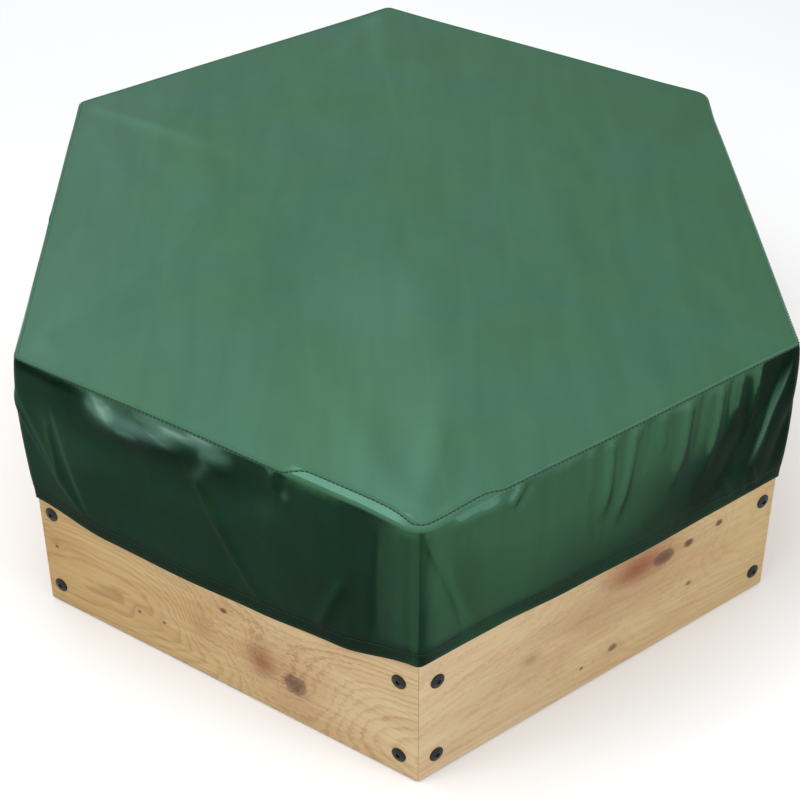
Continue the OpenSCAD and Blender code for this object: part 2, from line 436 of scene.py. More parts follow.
@dataclass
class UprightPine(PlanedPine):
    """The same softwood as the boards, with its grain upright, for a post."""

    def build(self) -> None:
        """Adds the post's upright grain, without knots."""
        place = self.add("TexCoord").outputs["Object"]
        shift = self.add("VectorMath", place, self.origin, operation="SUBTRACT")
        mm = self.add("VectorMath", shift, inputs={"Scale": 1 / MM}, operation="SCALE")
        slow = self.add("VectorMath", mm, (1 / 40, 1 / 40, 1 / 240), operation="MULTIPLY")
        wobble = self.add("TexNoise", inputs={"Vector": slow, "Scale": 1.0, "Detail": 2.0})
        x, y, _ = self.add("SeparateXYZ", mm).outputs
        square = self.add("Math", y, y, operation="MULTIPLY")
        square = self.add("Math", x, x, square, operation="MULTIPLY_ADD")
        radius = self.add("Math", square, operation="SQRT")
        radius = self.add("Math", wobble, 14.0, radius, operation="MULTIPLY_ADD")
        turn = self.add("Math", radius, self.ring_mm, operation="DIVIDE")
        turn = self.add("Math", turn, operation="FRACT")
        ring = fill_ramp(self.add("ValToRGB", turn), [(0.0, 0.0), (0.85, 1.0), (1.0, 0.0)])
        fine = self.add("VectorMath", mm, (1 / 2, 1 / 2, 1 / 70), operation="MULTIPLY")
        fibre = self.add("TexNoise", inputs={"Vector": fine, "Scale": 1.0, "Detail": 3.0})
        fibre = self.add("Math", fibre, 0.5, operation="SUBTRACT")
        ring = self.add("Math", ring, 0.5, operation="MULTIPLY")
        shade = self.add("Math", fibre, 0.5, ring, operation="MULTIPLY_ADD", use_clamp=True)
        colour = self.add("MixRGB", shade, linear(self.pale), linear(self.late))
        bump = self.add("Bump", inputs={"Height": shade, "Strength": 0.2, "Distance": 0.4 * MM})
        look = {"Base Color": colour, "Roughness": 0.6, "Normal": bump}
        self.surface(look | {"IOR": 1.48, "Specular IOR Level": 0.3})


@dataclass
class BlackCoatedSteel(Finish):
    """Electro-coated steel: a thin, slightly pebbled black film with a soft broad highlight."""

    def build(self) -> None:
        """Adds the coat's pebble and its worn patches."""
        place = self.add("TexCoord").outputs["Object"]
        # Coat pebbles are about 0.4 mm; they are drawn at 1.2 mm.
        pebble = self.add("TexNoise", inputs={"Vector": place, "Scale": 1 / (1.2 * MM), "Detail": 2.0})
        worn = self.add("TexNoise", inputs={"Vector": place, "Scale": 1 / (9 * MM), "Detail": 3.0})
        colour = self.add("MixRGB", worn, linear("#0B0C0D"), linear("#191B1D"))
        bump = self.add("Bump", inputs={"Height": pebble, "Strength": 0.25, "Distance": 0.1 * MM})
        rough = self.add("Math", worn, 0.2, 0.34, operation="MULTIPLY_ADD")
        look = {"Base Color": colour, "Roughness": rough, "Normal": bump}
        self.surface(look | {"IOR": 1.5, "Specular IOR Level": 0.28})


@dataclass
class CoatedPolyester(Finish):
    """Green polyester Oxford with a coat: a plain weave under a thin film that has lost its shine.

    The top panel is a paler, lit copy of the green and the skirt a darker, shaded copy: painted light and
    painted shade. Each point's place on the scale of painted light and shade, and how much painted sheen and
    painted highlight it gets, are stored as attributes on the cloth.
    """

    # The top's colours, a lit copy of the green with painted light in it: more blue, more green, or
    # yellowish.
    blue: str = "#3C6154"
    green: str = "#3C6245"
    lit_yellowish: str = "#41664D"
    # Painted highlight, where a fold or the strip by the front corner turns to the light.
    painted_highlight: str = "#5C8A76"
    # The skirt's colours, a shaded copy of the green with painted shade in it: from the deepest hollows to
    # where the painted light begins.
    hollow: str = "#071C11"
    shaded_green: str = "#162D1A"
    shaded_blue: str = "#133226"
    olive: str = "#31533A"
    # Painted sheen, and the painted highlight at its brightest.
    sheen_green: str = "#4A6A5E"
    highlight_green: str = "#708F7E"
    weave_mm: float = 2.6
    streak_mm: tuple[float, float, float] = (42, 300, 300)

    def build(self) -> None:
        """Adds the weave, the painted light and shade, the crinkles and the painted sheen."""
        place = self.add("TexCoord").outputs["Object"]
        soft = {"Vector": place, "Scale": 1 / (190 * MM), "Detail": 3.0, "Roughness": 0.55}
        cloud = self.add("TexNoise", inputs=soft)
        spotty = {"Vector": place, "Scale": 1 / (55 * MM), "Detail": 4.0, "Roughness": 0.6}
        blotch = self.add("TexNoise", inputs=spotty)
        creased = {"Vector": place, "Scale": 1 / (34 * MM), "Detail": 3.0, "Distortion": 0.8}
        crinkle = self.add("TexNoise", inputs=creased)
        weave = self.weave()
        colour = self.coat(self.paint_light_and_shade(cloud, blotch))

        # Long, faint streaks, where the sheet was stretched over the box.
        scale = tuple(1 / (size * MM) for size in self.streak_mm)
        drawn = self.add("VectorMath", place, scale, operation="MULTIPLY")
        drawn = self.add("TexNoise", inputs={"Vector": drawn, "Scale": 1.0, "Detail": 3.0, "Distortion": 1.0})
        value = self.add("Math", drawn, 0.26, 0.87, operation="MULTIPLY_ADD")
        value = self.add("Math", weave, 0.07, value, operation="MULTIPLY_ADD")
        colour = self.add("HueSaturation", inputs={"Color": colour, "Value": value})

        height = self.add("Math", crinkle, 1.8, operation="MULTIPLY")
        height = self.add("Math", weave, 0.08, height, operation="MULTIPLY_ADD")
        bump = self.add("Bump", inputs={"Height": height, "Strength": 0.5, "Distance": 1.0 * MM})
        rough = self.add("Math", blotch, 0.14, 0.34, operation="MULTIPLY_ADD")
        look = {"Base Color": colour, "Roughness": rough, "Normal": bump}
        self.surface(look | {"IOR": 1.45, "Specular IOR Level": 0.02})

    def weave(self) -> bpy.types.Node:
        """Draws the plain weave, which runs with the cut of the cloth.

        Returns:
            The weave's height, from -1 to 1.
        """
        # Threads are 0.5 mm apart; the weave is drawn at 2.6 mm, as coarse as it needs to be to show.
        cut = self.add("UVMap", uv_map="cut")
        turns = {"Scale": math.pi / (self.weave_mm * MM)}
        thread = self.add("SeparateXYZ", self.add("VectorMath", cut, inputs=turns, operation="SCALE"))
        warp = self.add("Math", thread.outputs[0], operation="SINE")
        weft = self.add("Math", thread.outputs[1], operation="SINE")
        return self.add("Math", warp, weft, operation="MULTIPLY")

    def paint_light_and_shade(self, cloud: bpy.types.Node, blotch: bpy.types.Node) -> bpy.types.Node:
        """Paints light and shade into the colour: painted shade in the hollows, the shaded skirt, and the
        paler, lit top.

        Args:
            cloud: Broad, soft noise.
            blotch: Smaller, rougher noise.

        Returns:
            The cloth's colour.
        """
        tone = self.add("Attribute", attribute_name="tone").outputs["Fac"]
        blue = self.add("Math", cloud, 2.2, -0.6, operation="MULTIPLY_ADD", use_clamp=True)
        yellow = self.add("Math", blotch, 1.4, -0.4, operation="MULTIPLY_ADD", use_clamp=True)
        top = self.add("MixRGB", blue, linear(self.green), linear(self.blue))
        top = self.add("MixRGB", yellow, top, linear(self.lit_yellowish))
        cool = self.add("Math", blotch, 2.4, -0.7, operation="MULTIPLY_ADD", use_clamp=True)
        skirt = self.add("MixRGB", cool, linear(self.shaded_green), linear(self.shaded_blue))
        # Painted shade: the hollows darken below the shaded skirt's colour.
        reached = self.add("Math", tone, 1 / SKIRT_SHADE_LEVEL, operation="MULTIPLY", use_clamp=True)
        colour = self.add("MixRGB", reached, linear(self.hollow), skirt)
        # Painted light: olive where it begins, then the lit top's colours, then the painted highlight.
        risen = self.add("Math", tone, SKIRT_SHADE_LEVEL, operation="SUBTRACT")
        risen = self.add("Math", risen, TOP_LIGHT_LEVEL - SKIRT_SHADE_LEVEL, operation="DIVIDE", use_clamp=True)
        begun = self.add("Math", risen, 4.0, operation="MULTIPLY", use_clamp=True)
        colour = self.add("MixRGB", begun, colour, linear(self.olive))
        paler = self.add("Math", risen, 0.25, operation="SUBTRACT")
        paler = self.add("Math", paler, 0.75, operation="DIVIDE", use_clamp=True)
        colour = self.add("MixRGB", paler, colour, top)
        beyond = self.add("Math", tone, TOP_LIGHT_LEVEL, operation="SUBTRACT")
        beyond = self.add("Math", beyond, 1 - TOP_LIGHT_LEVEL, operation="DIVIDE", use_clamp=True)
        return self.add("MixRGB", beyond, colour, linear(self.painted_highlight))

    def coat(self, colour: bpy.types.Node) -> bpy.types.Node:
        """Paints sheen over the colour: first a painted sheen, then a painted highlight where it is
        strongest.

        Args:
            colour: The cloth's colour.

        Returns:
            The colour with its painted sheen.
        """
        painted_sheen = self.add("Attribute", attribute_name="painted_sheen").outputs["Fac"]
        sheen_share = self.add("Math", painted_sheen, 1.5, operation="MULTIPLY", use_clamp=True)
        colour = self.add("MixRGB", sheen_share, colour, linear(self.sheen_green))
        highlight_share = self.add("Math", painted_sheen, 3.0, -2.0, operation="MULTIPLY_ADD", use_clamp=True)
        return self.add("MixRGB", highlight_share, colour, linear(self.highlight_green))


@dataclass
class SewingThread(Finish):
    """Bonded polyester thread, twisted: dark green with a faint gloss along the twist."""

    def build(self) -> None:
        """Adds the thread's twist."""
        place = self.add("TexCoord").outputs["Object"]
        twist = self.add("TexNoise", inputs={"Vector": place, "Scale": 1 / (0.8 * MM), "Detail": 1.0})
        colour = self.add("MixRGB", twist, linear("#0D1A12"), linear("#1E3327"))
        bump = self.add("Bump", inputs={"Height": twist, "Strength": 0.4, "Distance": 0.2 * MM})
        self.surface({"Base Color": colour, "Roughness": 0.5, "Normal": bump, "IOR": 1.5})


@dataclass
class GroundFabric(Finish):
    """Needle-punched polypropylene ground fabric: a matt, felted charcoal mat of tangled fibres."""

    def build(self) -> None:
        """Adds the felt's fibres and the punched dimples."""
        place = self.add("TexCoord").outputs["Object"]
        tangled = {"Vector": place, "Scale": 1 / (3 * MM), "Detail": 6.0, "Roughness": 0.7}
        felt = self.add("TexNoise", inputs=tangled)
        worn = self.add("TexNoise", inputs={"Vector": place, "Scale": 1 / (120 * MM), "Detail": 3.0})
        dimple = self.add("TexVoronoi", inputs={"Vector": place, "Scale": 1 / (5 * MM)})
        colour = self.add("MixRGB", felt, linear("#2A2C2B"), linear("#4A4D4A"))
        dusty = self.add("Math", worn, 0.35, operation="MULTIPLY")
        colour = self.add("MixRGB", dusty, colour, linear("#5C574C"))
        height = self.add("Math", dimple, 0.6, felt, operation="MULTIPLY_ADD")
        bump = self.add("Bump", inputs={"Height": height, "Strength": 0.6, "Distance": 0.6 * MM})
        look = {"Base Color": colour, "Roughness": 0.92, "Normal": bump}
        self.surface(look | {"Sheen Weight": 0.2, "Sheen Roughness": 0.6})


@dataclass
class PaleFloor(Finish):
    """Matt painted studio floor, almost white."""

    def build(self) -> None:
        """Adds the paint's faint mottling."""
        place = self.add("TexCoord").outputs["Object"]
        mottle = self.add("TexNoise", inputs={"Vector": place, "Scale": 1.2, "Detail": 2.0})
        colour = self.add("MixRGB", mottle, linear("#F4F4F3"), linear("#F8F8F8"))
        self.surface({"Base Color": colour, "Roughness": 0.9, "Specular IOR Level": 0.2})


# ---------------------------------------------------------------- shape of the box


@dataclass
class Footprint:
    """The box's hexagon in plan at the outer faces of its side boards, read from the frame."""

    half_width: float
    half_depth: float
    half_side: float

    @classmethod
    def from_frame(cls) -> "Footprint":
        """Reads the hexagon from the lower boards on the left and the front left.

        Returns:
            The footprint.
        """
        left_low, left_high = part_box("lower_board_left")
        front_low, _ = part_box("lower_board_front_left")
        # Boards stop short of the corner by half a mitre's gap.
        half_side = left_high.y + 0.2 * MM
        half_width = -left_low.x
        rise = (-front_low.y - half_side) / (half_width - abs(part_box("lower_board_front_left")[1].x))
        return cls(half_width, half_side + rise * half_width, half_side)

    @property
    def corners(self) -> np.ndarray:
        """The six corners, anticlockwise from the back one."""
        w, d, s = self.half_width, self.half_depth, self.half_side
        return np.array([[0, d], [-w, s], [-w, -s], [0, -d], [w, -s], [w, s]])

    def edge(self, side: int) -> tuple[np.ndarray, float]:
        """Measures a side.

        Args:
            side: The side's number.

        Returns:
            The direction along it, and its length.
        """
        step = self.corners[(side + 1) % 6] - self.corners[side % 6]
        length = float(np.linalg.norm(step))
        return step / length, length

    def outward(self, side: int) -> np.ndarray:
        """The direction out of a side."""
        d, _ = self.edge(side)
        return np.array([d[1], -d[0]])

    def mitre(self, corner: int) -> np.ndarray:
        """Where a corner goes when both of its sides move out by one."""
        a, b = self.outward(corner - 1), self.outward(corner)
        return (a + b) / (1 + a @ b)

    def half_angle(self, corner: int) -> float:
        """Measures a corner.

        Args:
            corner: The corner's number.

        Returns:
            Half the angle inside it, in radians.
        """
        a, _ = self.edge(corner - 1)
        b, _ = self.edge(corner)
        return math.pi / 2 - math.acos(float(a @ b)) / 2

    def planes(self) -> tuple[np.ndarray, np.ndarray]:
        """The sides' outward directions, and how far each side lies from the middle."""
        normals = np.array([self.outward(side) for side in Side])
        return normals, np.array([normals[side] @ self.corners[side] for side in Side])


def smooth(x: np.ndarray | float) -> np.ndarray:
    """Eases from 0 to 1 as x goes from 0 to 1."""
    t = np.clip(x, 0, 1)
    return t * t * (3 - 2 * t)


def add_piece(name: str, points: np.ndarray, faces: list[tuple[int, ...]]) -> bpy.types.Object:
    """Adds a piece with smooth faces to the scene.

    Args:
        name: The piece's name.
        points: Its points.
        faces: The numbers of each face's points, in order.

    Returns:
        The piece.
    """
    mesh = bpy.data.meshes.new(name)
    mesh.from_pydata(points.tolist(), [], faces)
    mesh.update()
    mesh.polygons.foreach_set("use_smooth", [True] * len(mesh.polygons))
    piece = bpy.data.objects.new(name, mesh)
    bpy.context.scene.collection.objects.link(piece)
    return piece


def set_cut(mesh: bpy.types.Mesh, flat: np.ndarray) -> None:
    """Stores each point's place in the flat cloth, which the weave runs with.

    Args:
        mesh: The cloth.
        flat: The place of each point.
    """
    loops = np.zeros(len(mesh.loops), int)
    mesh.loops.foreach_get("vertex_index", loops)
    layer = mesh.uv_layers.new(name="cut")
    layer.data.foreach_set("uv", flat[loops].astype(np.float32).ravel())


# ---------------------------------------------------------------- the cover


@dataclass(frozen=True)
class Fold:
    """A ridge or a crease in one side's skirt, along a straight line.

    Points are millimetres along the side from its left end as seen from outside, and down from the top edge.
    """

    side: Side
    start: tuple[float, float]
    end: tuple[float, float]
    height: float
    width: float
    sharp: float = 1.6
    lean: float = 0.0

    def lift(self, along: np.ndarray, down: np.ndarray) -> np.ndarray:
        """Works out how far the fold lifts each point off the skirt.

        Args:
            along: Distance of each point from the side's left end, in millimetres.
            down: Its distance below the top edge, in millimetres.

        Returns:
            The lift in millimetres.
        """
        a, b = np.array(self.start), np.array(self.end)
        step = b - a
        length = float(np.linalg.norm(step))
        step = step / length
        x, y = along - a[0], down - a[1]
        t = (x * step[0] + y * step[1]) / length
        across = (x * -step[1] + y * step[0]) / self.width
        across = across * (1 + self.lean * np.sign(across))
        ends = smooth((t + 0.12) / 0.25) * smooth((1.12 - t) / 0.45)
        return self.height * ends * np.exp(-np.abs(across) ** self.sharp)


@dataclass(frozen=True)
class Swell:
    """A soft bulge or hollow in one side's skirt, as wide and as high as size says, in millimetres."""

    side: Side
    middle: tuple[float, float]
    size: tuple[float, float]
    height: float

    def lift(self, along: np.ndarray, down: np.ndarray) -> np.ndarray:
        """Works out how far the bulge lifts each point off the skirt.

        Args:
            along: Distance of each point from the side's left end, in millimetres.
            down: Its distance below the top edge, in millimetres.

        Returns:
            The lift in millimetres.
        """
        x = (along - self.middle[0]) / self.size[0]
        y = (down - self.middle[1]) / self.size[1]
        return self.height * np.exp(-(x * x + y * y))


@dataclass
class CoverShape:
    """The cover as worn: a taut top, a rolled edge, and a skirt in folds that is drawn in at its hem."""

    plan: Footprint
    top: float
    top_cells: int = 100
    skirt_cells: int = 200
    shoulder_rows: int = 7
    skirt_rows: int = 46
    stand_off_mm: float = 5.0
    hem_off_mm: float = 2.6
    # Least distance of the cloth's outer face off the boards, which clears the screw heads.
    clear_mm: float = 4.4
    # Radius of the rolled edge, and how much it varies.
    roll_mm: tuple[float, float] = (4.6, 0.7)
    # How far the skirt bellies out, and how far the top sags between the seat boards.
    belly_mm: float = 5.5
    sag_mm: float = 5.5
    # Radius of each corner in plan, from the back corner on.
    corner_mm: tuple[float, ...] = (14, 16, 14, 34, 10, 36)
    # Drop of the hem along each side, at even steps from its left end.
    hem_mm: dict[Side, tuple[float, ...]] = field(
        default_factory=lambda: {
            Side.BACK_LEFT: (212, 219, 221, 219, 214, 216),
            Side.LEFT: (216, 222, 226, 227, 224, 220),
            Side.FRONT_LEFT: (220, 238, 240, 236, 228, 202),
            Side.FRONT_RIGHT: (202, 203, 209, 212, 210, 208),
            Side.RIGHT: (208, 216, 222, 222, 217, 212),
            Side.BACK_RIGHT: (212, 218, 221, 220, 216, 212),
        }
    )
    folds: tuple[Fold, ...] = ()
    swells: tuple[Swell, ...] = ()
    # Patches of painted light and painted shade on the skirt: a swell's height is then a share.
    light_and_shade_patches: tuple[Fold | Swell, ...] = ()
    # Patches of painted sheen and painted highlight; a height is a share here too.
    sheen_patches: tuple[Fold | Swell, ...] = ()
    # Direction of the light that the painted light and shade on the cloth follow.
    sun: tuple[float, float, float] = (-0.55, -0.25, 0.80)
    # How much painted light each side's flat parts get, one side paler than another, and how strongly each
    # side is gathered.
    side_light: tuple[float, ...] = (0.10, 0.06, 0.0, 0.21, 0.10, 0.12)
    side_gather: tuple[float, ...] = (0.6, 0.4, 0.22, 1.15, 0.5, 0.6)
    seed: int = 7

    # ---- outline

    def spread(self, cells: int) -> np.ndarray:
        """Shares of a side from 0 to 1, closer together near both corners."""
        x = np.linspace(0, 1, cells + 1)
        return x - 0.35 * np.sin(2 * np.pi * x) / (2 * np.pi)

    def outline(self, cells: int, off_mm: float, scale: float, puff: float) -> tuple[np.ndarray, np.ndarray]:
        """The rounded outline in plan at a distance off the boards.

        Args:
            cells: Columns on each side.
            off_mm: Distance off the boards, away from the corners.
            scale: Share of each corner's radius.
            puff: Share of the extra distance that lets the rounded corner clear the box's own corner.

        Returns:
            The points and their outward directions, side after side.
        """
        points, normals = [], []
        for side in Side:
            d, length = self.plan.edge(side)
            n = self.plan.outward(side)
            s = self.spread(cells)[:-1] * length
            u = s / length
            m0, m1 = self.plan.mitre(side), self.plan.mitre(side + 1)
            off = np.full_like(s, off_mm)
            for corner, x in ((side, s), (side + 1, length - s)):
                alpha = self.plan.half_angle(corner)
                r = self.corner_mm[corner % 6] * scale
                need = (self.clear_mm + (1 / math.sin(alpha) - 1) * r) * math.sin(alpha)
                off += puff * max(0.0, need - off_mm) * (1 - smooth(x / (90 * MM)))
            off = off * MM
            start = self.plan.corners[side]
            p = start + np.outer(s, d) + off[:, None] * (np.outer(1 - u, m0) + np.outer(u, m1))
            q = np.tile(n, (len(s), 1))
            for corner, x, sign in ((side, s, -1), (side + 1, length - s, 1)):
                alpha = self.plan.half_angle(corner)
                r = self.corner_mm[corner % 6] * scale * MM
                reach = r / math.tan(alpha)
                inside = x < reach
                if not inside.any():
                    continue
                mitre = self.plan.mitre(corner)
                out = mitre / np.linalg.norm(mitre)
                centre = self.plan.corners[corner % 6] + mitre * off[inside][:, None]
                centre = centre - out * r / math.sin(alpha)
                turn = sign * -1 * (x[inside] / reach) * (math.pi / 2 - alpha)
                c, k = np.cos(turn), np.sin(turn)
                q[inside] = np.stack([out[0] * c - out[1] * k, out[0] * k + out[1] * c], 1)
                p[inside] = centre + q[inside] * r
            points.append(p)
            normals.append(q)
        return np.concatenate(points), np.concatenate(normals)

    def columns(self, cells: int) -> tuple[np.ndarray, np.ndarray, np.ndarray]:
        """Lists the outline's columns, side after side.

        Args:
            cells: Columns on each side.

        Returns:
            The side of each column, its distance from the side's left end, and the side's length, both in
            millimetres.
        """
        side = np.repeat(np.arange(6), cells)
        length = np.array([self.plan.edge(i)[1] / MM for i in range(6)])[side]
        share = np.tile(self.spread(cells)[:-1], 6)
        return side, share * length, length

    # ---- profile

    def shoulder_mm(self, side: np.ndarray, along: np.ndarray) -> np.ndarray:
        """Radius of the rolled edge at each column, which varies slowly along each side."""
        return self.roll_mm[0] + self.roll_mm[1] * np.sin(along / 83.0 + side * 1.7)

    def hem_drop(self, side: np.ndarray, along: np.ndarray, length: np.ndarray) -> np.ndarray:
        """Works out how far the hem hangs below the top edge.

        Args:
            side: The side of each column.
            along: Distance of each column from its side's left end, in millimetres.
            length: Length of each column's side, in millimetres.

        Returns:
            The drop at each column, in millimetres.
        """
        drop = np.zeros_like(along)
        for s, values in self.hem_mm.items():
            here = side == s
            x = along[here] / length[here] * (len(values) - 1)
            i = np.clip(x.astype(int), 0, len(values) - 2)
            t = smooth(x - i)
            v = np.array(values, float)
            drop[here] = v[i] * (1 - t) + v[i + 1] * t
        for _ in range(6):
            drop = (np.roll(drop, 1) + 2 * drop + np.roll(drop, -1)) / 4
        return drop

    def gathers(self, side: np.ndarray, along: np.ndarray, down: np.ndarray) -> np.ndarray:
        """Draws small gathers by chance, which hang from the seam and die away.

        Args:
            side: The side of each column.
            along: Distance of each column from its side's left end, in millimetres.
            down: Distance of each point below the top edge, columns by rows.

        Returns:
            How far they lift each point, in millimetres.
        """
        rng = np.random.default_rng(self.seed)
        total = np.zeros_like(down)
        for s in Side:
            here = side == s
            if not here.any():
                continue
            length = self.plan.edge(s)[1] / MM
            x = along[here][:, None]
            y = down[here]
            wave = np.zeros_like(y)
            at = 12.0
            while at < length - 10:
                gap = rng.uniform(9, 26)
                height = rng.uniform(0.3, 1.7)
                reach = rng.uniform(28, 85)
                tilt = rng.normal(-0.05, 0.12)
                width = rng.uniform(3.2, 7.0)
                across = (x - at - tilt * y) / width
                wave += height * np.exp(-np.abs(across) ** 1.7) * np.exp(-y / reach)
                at += gap
            if s == Side.FRONT_RIGHT:
                wave *= 0.25 + 0.75 * smooth((x - 170) / 120)
            total[here] = wave * self.side_gather[s]
        return total

    def drape(self, side: np.ndarray, along: np.ndarray, down: np.ndarray, share: np.ndarray) -> np.ndarray:
        """How far the skirt stands off its plain outline, in millimetres.

        Args:
            side: The side of each column.
            along: Distance of each column from its side's left end.
            down: Distance of each point below the top edge, columns by rows.
            share: The same as a share of the whole drop.

        Returns:
            The distance of each point, columns by rows.
        """
        rng = np.random.default_rng(self.seed + 1)
        lift = self.belly_mm * np.sin(np.pi * np.clip(share, 0, 1) ** 0.7) ** 1.3
        slow = np.zeros_like(down)
        for _ in range(7):
            k = rng.uniform(0.010, 0.035)
            tilt = rng.normal(0, 0.35)
            size = rng.uniform(0.3, 1.0)
            phase = rng.uniform(0, 6.28)
            slow += size * np.sin(k * (along[:, None] + tilt * down) + phase + side[:, None] * 1.9)
        length = np.array([self.plan.edge(s)[1] / MM for s in Side])[side]
        from_corner = smooth(np.minimum(along, length - along) / 70.0)[:, None]
        lift = lift + slow * 0.8 * from_corner
        lift = lift + self.gathers(side, along, down)
        for feature in (*self.folds, *self.swells):
            here = side == feature.side
            lift[here] += feature.lift(along[here][:, None], down[here])
            # A fold near a corner runs on round it.
            for step in (-1, 1):
                other = Side((feature.side + step) % 6)
                there = side == other
                shift = self.plan.edge(feature.side if step > 0 else other)[1] / MM
                lift[there] += feature.lift(along[there][:, None] + shift * step, down[there])
        drawn = smooth((share - 0.86) / 0.14)
        floor = self.clear_mm - self.stand_off_mm
        return np.maximum(lift, floor) * (1 - 0.85 * drawn)

    def skirt(self) -> tuple[np.ndarray, np.ndarray, np.ndarray]:
        """The rolled edge and the skirt.

        Returns:
            Points by column and row, their distance below the top edge in millimetres, and each column's
            side.
        """
        side, along, length = self.columns(self.skirt_cells)
        r = self.shoulder_mm(side, along)
        for _ in range(3):
            r = (np.roll(r, 1) + 2 * r + np.roll(r, -1)) / 4
        drop = self.hem_drop(side, along, length)
        full, full_n = self.outline(self.skirt_cells, self.stand_off_mm, 1.0, 1.0)
        tight, tight_n = self.outline(self.skirt_cells, self.hem_off_mm, 0.3, 0.35)
        cols = len(side)
        rows = self.shoulder_rows + self.skirt_rows
        out = np.zeros((cols, rows))
        down = np.zeros((cols, rows))
        quarter = np.linspace(0, math.pi / 2, self.shoulder_rows)
        out[:, : self.shoulder_rows] = r[:, None] * (np.sin(quarter) - 1)
        down[:, : self.shoulder_rows] = r[:, None] * (1 - np.cos(quarter))
        x = np.arange(1, self.skirt_rows + 1) / self.skirt_rows
        steps = 0.9 * x + 0.1 * x**2.2
        steps = steps / steps[-1]
        down[:, self.shoulder_rows :] = r[:, None] + (drop - r)[:, None] * steps[None]
        share = down / drop[:, None]
        weight = smooth((down - 1.0) / 9.0)
        lift = self.drape(side, along, down, share) * weight
        drawn = smooth((share - 0.82) / 0.18)[..., None]
        plan = full[:, None] * (1 - drawn) + tight[:, None] * drawn
        n = full_n[:, None] * (1 - drawn) + tight_n[:, None] * drawn
        n = n / np.linalg.norm(n, axis=2, keepdims=True)
        flat = plan + n * ((out + lift) * MM)[..., None]
        z = self.top - down * MM
        return np.concatenate([flat, z[..., None]], 2), down, side

    def normals(self, skirt: np.ndarray) -> np.ndarray:
        """Works out which way the skirt faces.

        Args:
            skirt: The skirt's points by column and row.

        Returns:
            The outward direction of each point.
        """
        du = np.roll(skirt, -1, axis=0) - np.roll(skirt, 1, axis=0)
        dv = np.gradient(skirt, axis=1)
        n = np.cross(dv, du)
        return n / np.maximum(np.linalg.norm(n, axis=2, keepdims=True), 1e-9)

    def skirt_tone(self, skirt: np.ndarray, down: np.ndarray, side: np.ndarray) -> np.ndarray:
        """Paints light and shade on the skirt: paler where a fold turns towards the light, darker in a
        hollow.

        Args:
            skirt: The skirt's points by column and row.
            down: Their distance below the top edge in millimetres.
            side: Each column's side.

        Returns:
            The place of each point on the scale of painted light and shade.
        """
        n = self.normals(skirt)
        plain = self.outline(self.skirt_cells, self.stand_off_mm, 1.0, 1.0)[1]
        turn = n - np.c_[plain, np.zeros(len(plain))][:, None]
        lit = turn @ np.array(self.sun)
        base = np.array(self.side_light)[side]
        for _ in range(40):
            base = (np.roll(base, 1) + 2 * base + np.roll(base, -1)) / 4
        # Painted light where the cloth turns to the light, painted shade where it turns away.
        relief = 0.30 * np.clip(lit, 0, 1) + 0.62 * smooth((lit - 0.08) / 0.36)
        relief = relief + 0.85 * np.minimum(lit, 0)
        light_share = base[:, None] + relief
        _, along, _ = self.columns(self.skirt_cells)
        for patch in self.light_and_shade_patches:
            here = side == patch.side
            light_share[here] += patch.lift(along[here][:, None], down[here])
        # Darker just above the hem.
        light_share -= 0.10 * smooth((down - down[:, -1:] + 30.0) / 12.0)
        light_share = np.clip(light_share, -0.3, 1.15)
        # Along the rim the skirt takes the top's painted light.
        edge = smooth((down - 0.9) / 2.6)
        light_share = 1 - edge + edge * light_share
        return SKIRT_SHADE_LEVEL + np.where(light_share > 0, (TOP_LIGHT_LEVEL - SKIRT_SHADE_LEVEL) * light_share, SKIRT_SHADE_LEVEL / 0.3 * light_share)

    def top_painted_sheen(self, points: np.ndarray) -> np.ndarray:
        """How much painted sheen the top's points get: a little, growing towards the left edge."""
        return 0.28 * smooth((-points[:, 0] / self.plan.half_width - 0.55) / 0.45)

    def skirt_painted_sheen(self, down: np.ndarray, side: np.ndarray) -> np.ndarray:
        """How much painted sheen and painted highlight each point of the skirt gets, from 0 to 1.

        Args:
            down: The skirt's points' distance below the top edge in millimetres.
            side: Each column's side.

        Returns:
            The painted sheen of each point.
        """
        _, along, _ = self.columns(self.skirt_cells)
        painted_sheen = np.zeros_like(down)
        for patch in self.sheen_patches:
            here = side == patch.side
            painted_sheen[here] = np.maximum(painted_sheen[here], 0.0) + patch.lift(along[here][:, None], down[here])
        return np.clip(painted_sheen, 0, 1)

    def top_tone(self, points: np.ndarray) -> np.ndarray:
        """Paints light and shade on the top panel: paler where a fold faces the light, darker towards the
        right.

        Args:
            points: The top's points.

        Returns:
            The place of each point on the scale of painted light and shade.
        """
        step = 1.0 * MM
        x, y = points[:, 0], points[:, 1]
        inward = self.inward(points[:, :2])
        rise_x = (self.top_lift(x + step, y, inward) - self.top_lift(x - step, y, inward)) / (2 * step)
        rise_y = (self.top_lift(x, y + step, inward) - self.top_lift(x, y - step, inward)) / (2 * step)
        # Painted light and shade on the top's folds, from their slope against the light.
        lit = -rise_x * self.sun[0] - rise_y * self.sun[1]
        tone = TOP_LIGHT_LEVEL + np.clip(lit, -0.06, 0.05)
        # Painted shade towards the right side and painted light towards the front.
        tone = tone - 0.14 * np.clip(x / self.plan.half_width, 0, 1)
        tone = tone + 0.035 * np.clip(-y / self.plan.half_depth, 0, 1)
        # A painted highlight on the strip where the skirt has been pulled up over the edge.
        d, _ = self.plan.edge(Side.FRONT_LEFT)
        start = self.plan.corners[Side.FRONT_LEFT]
        along = ((points[:, :2] - start) @ d) / MM
        depth = ((start - points[:, :2]) @ self.plan.outward(Side.FRONT_LEFT)) / MM
        strip = smooth((along - 412) / 8) * (1 - smooth((along - 560) / 24))
        strip = strip * (1 - smooth((depth - 11) / 2))
        return tone + 0.15 * strip

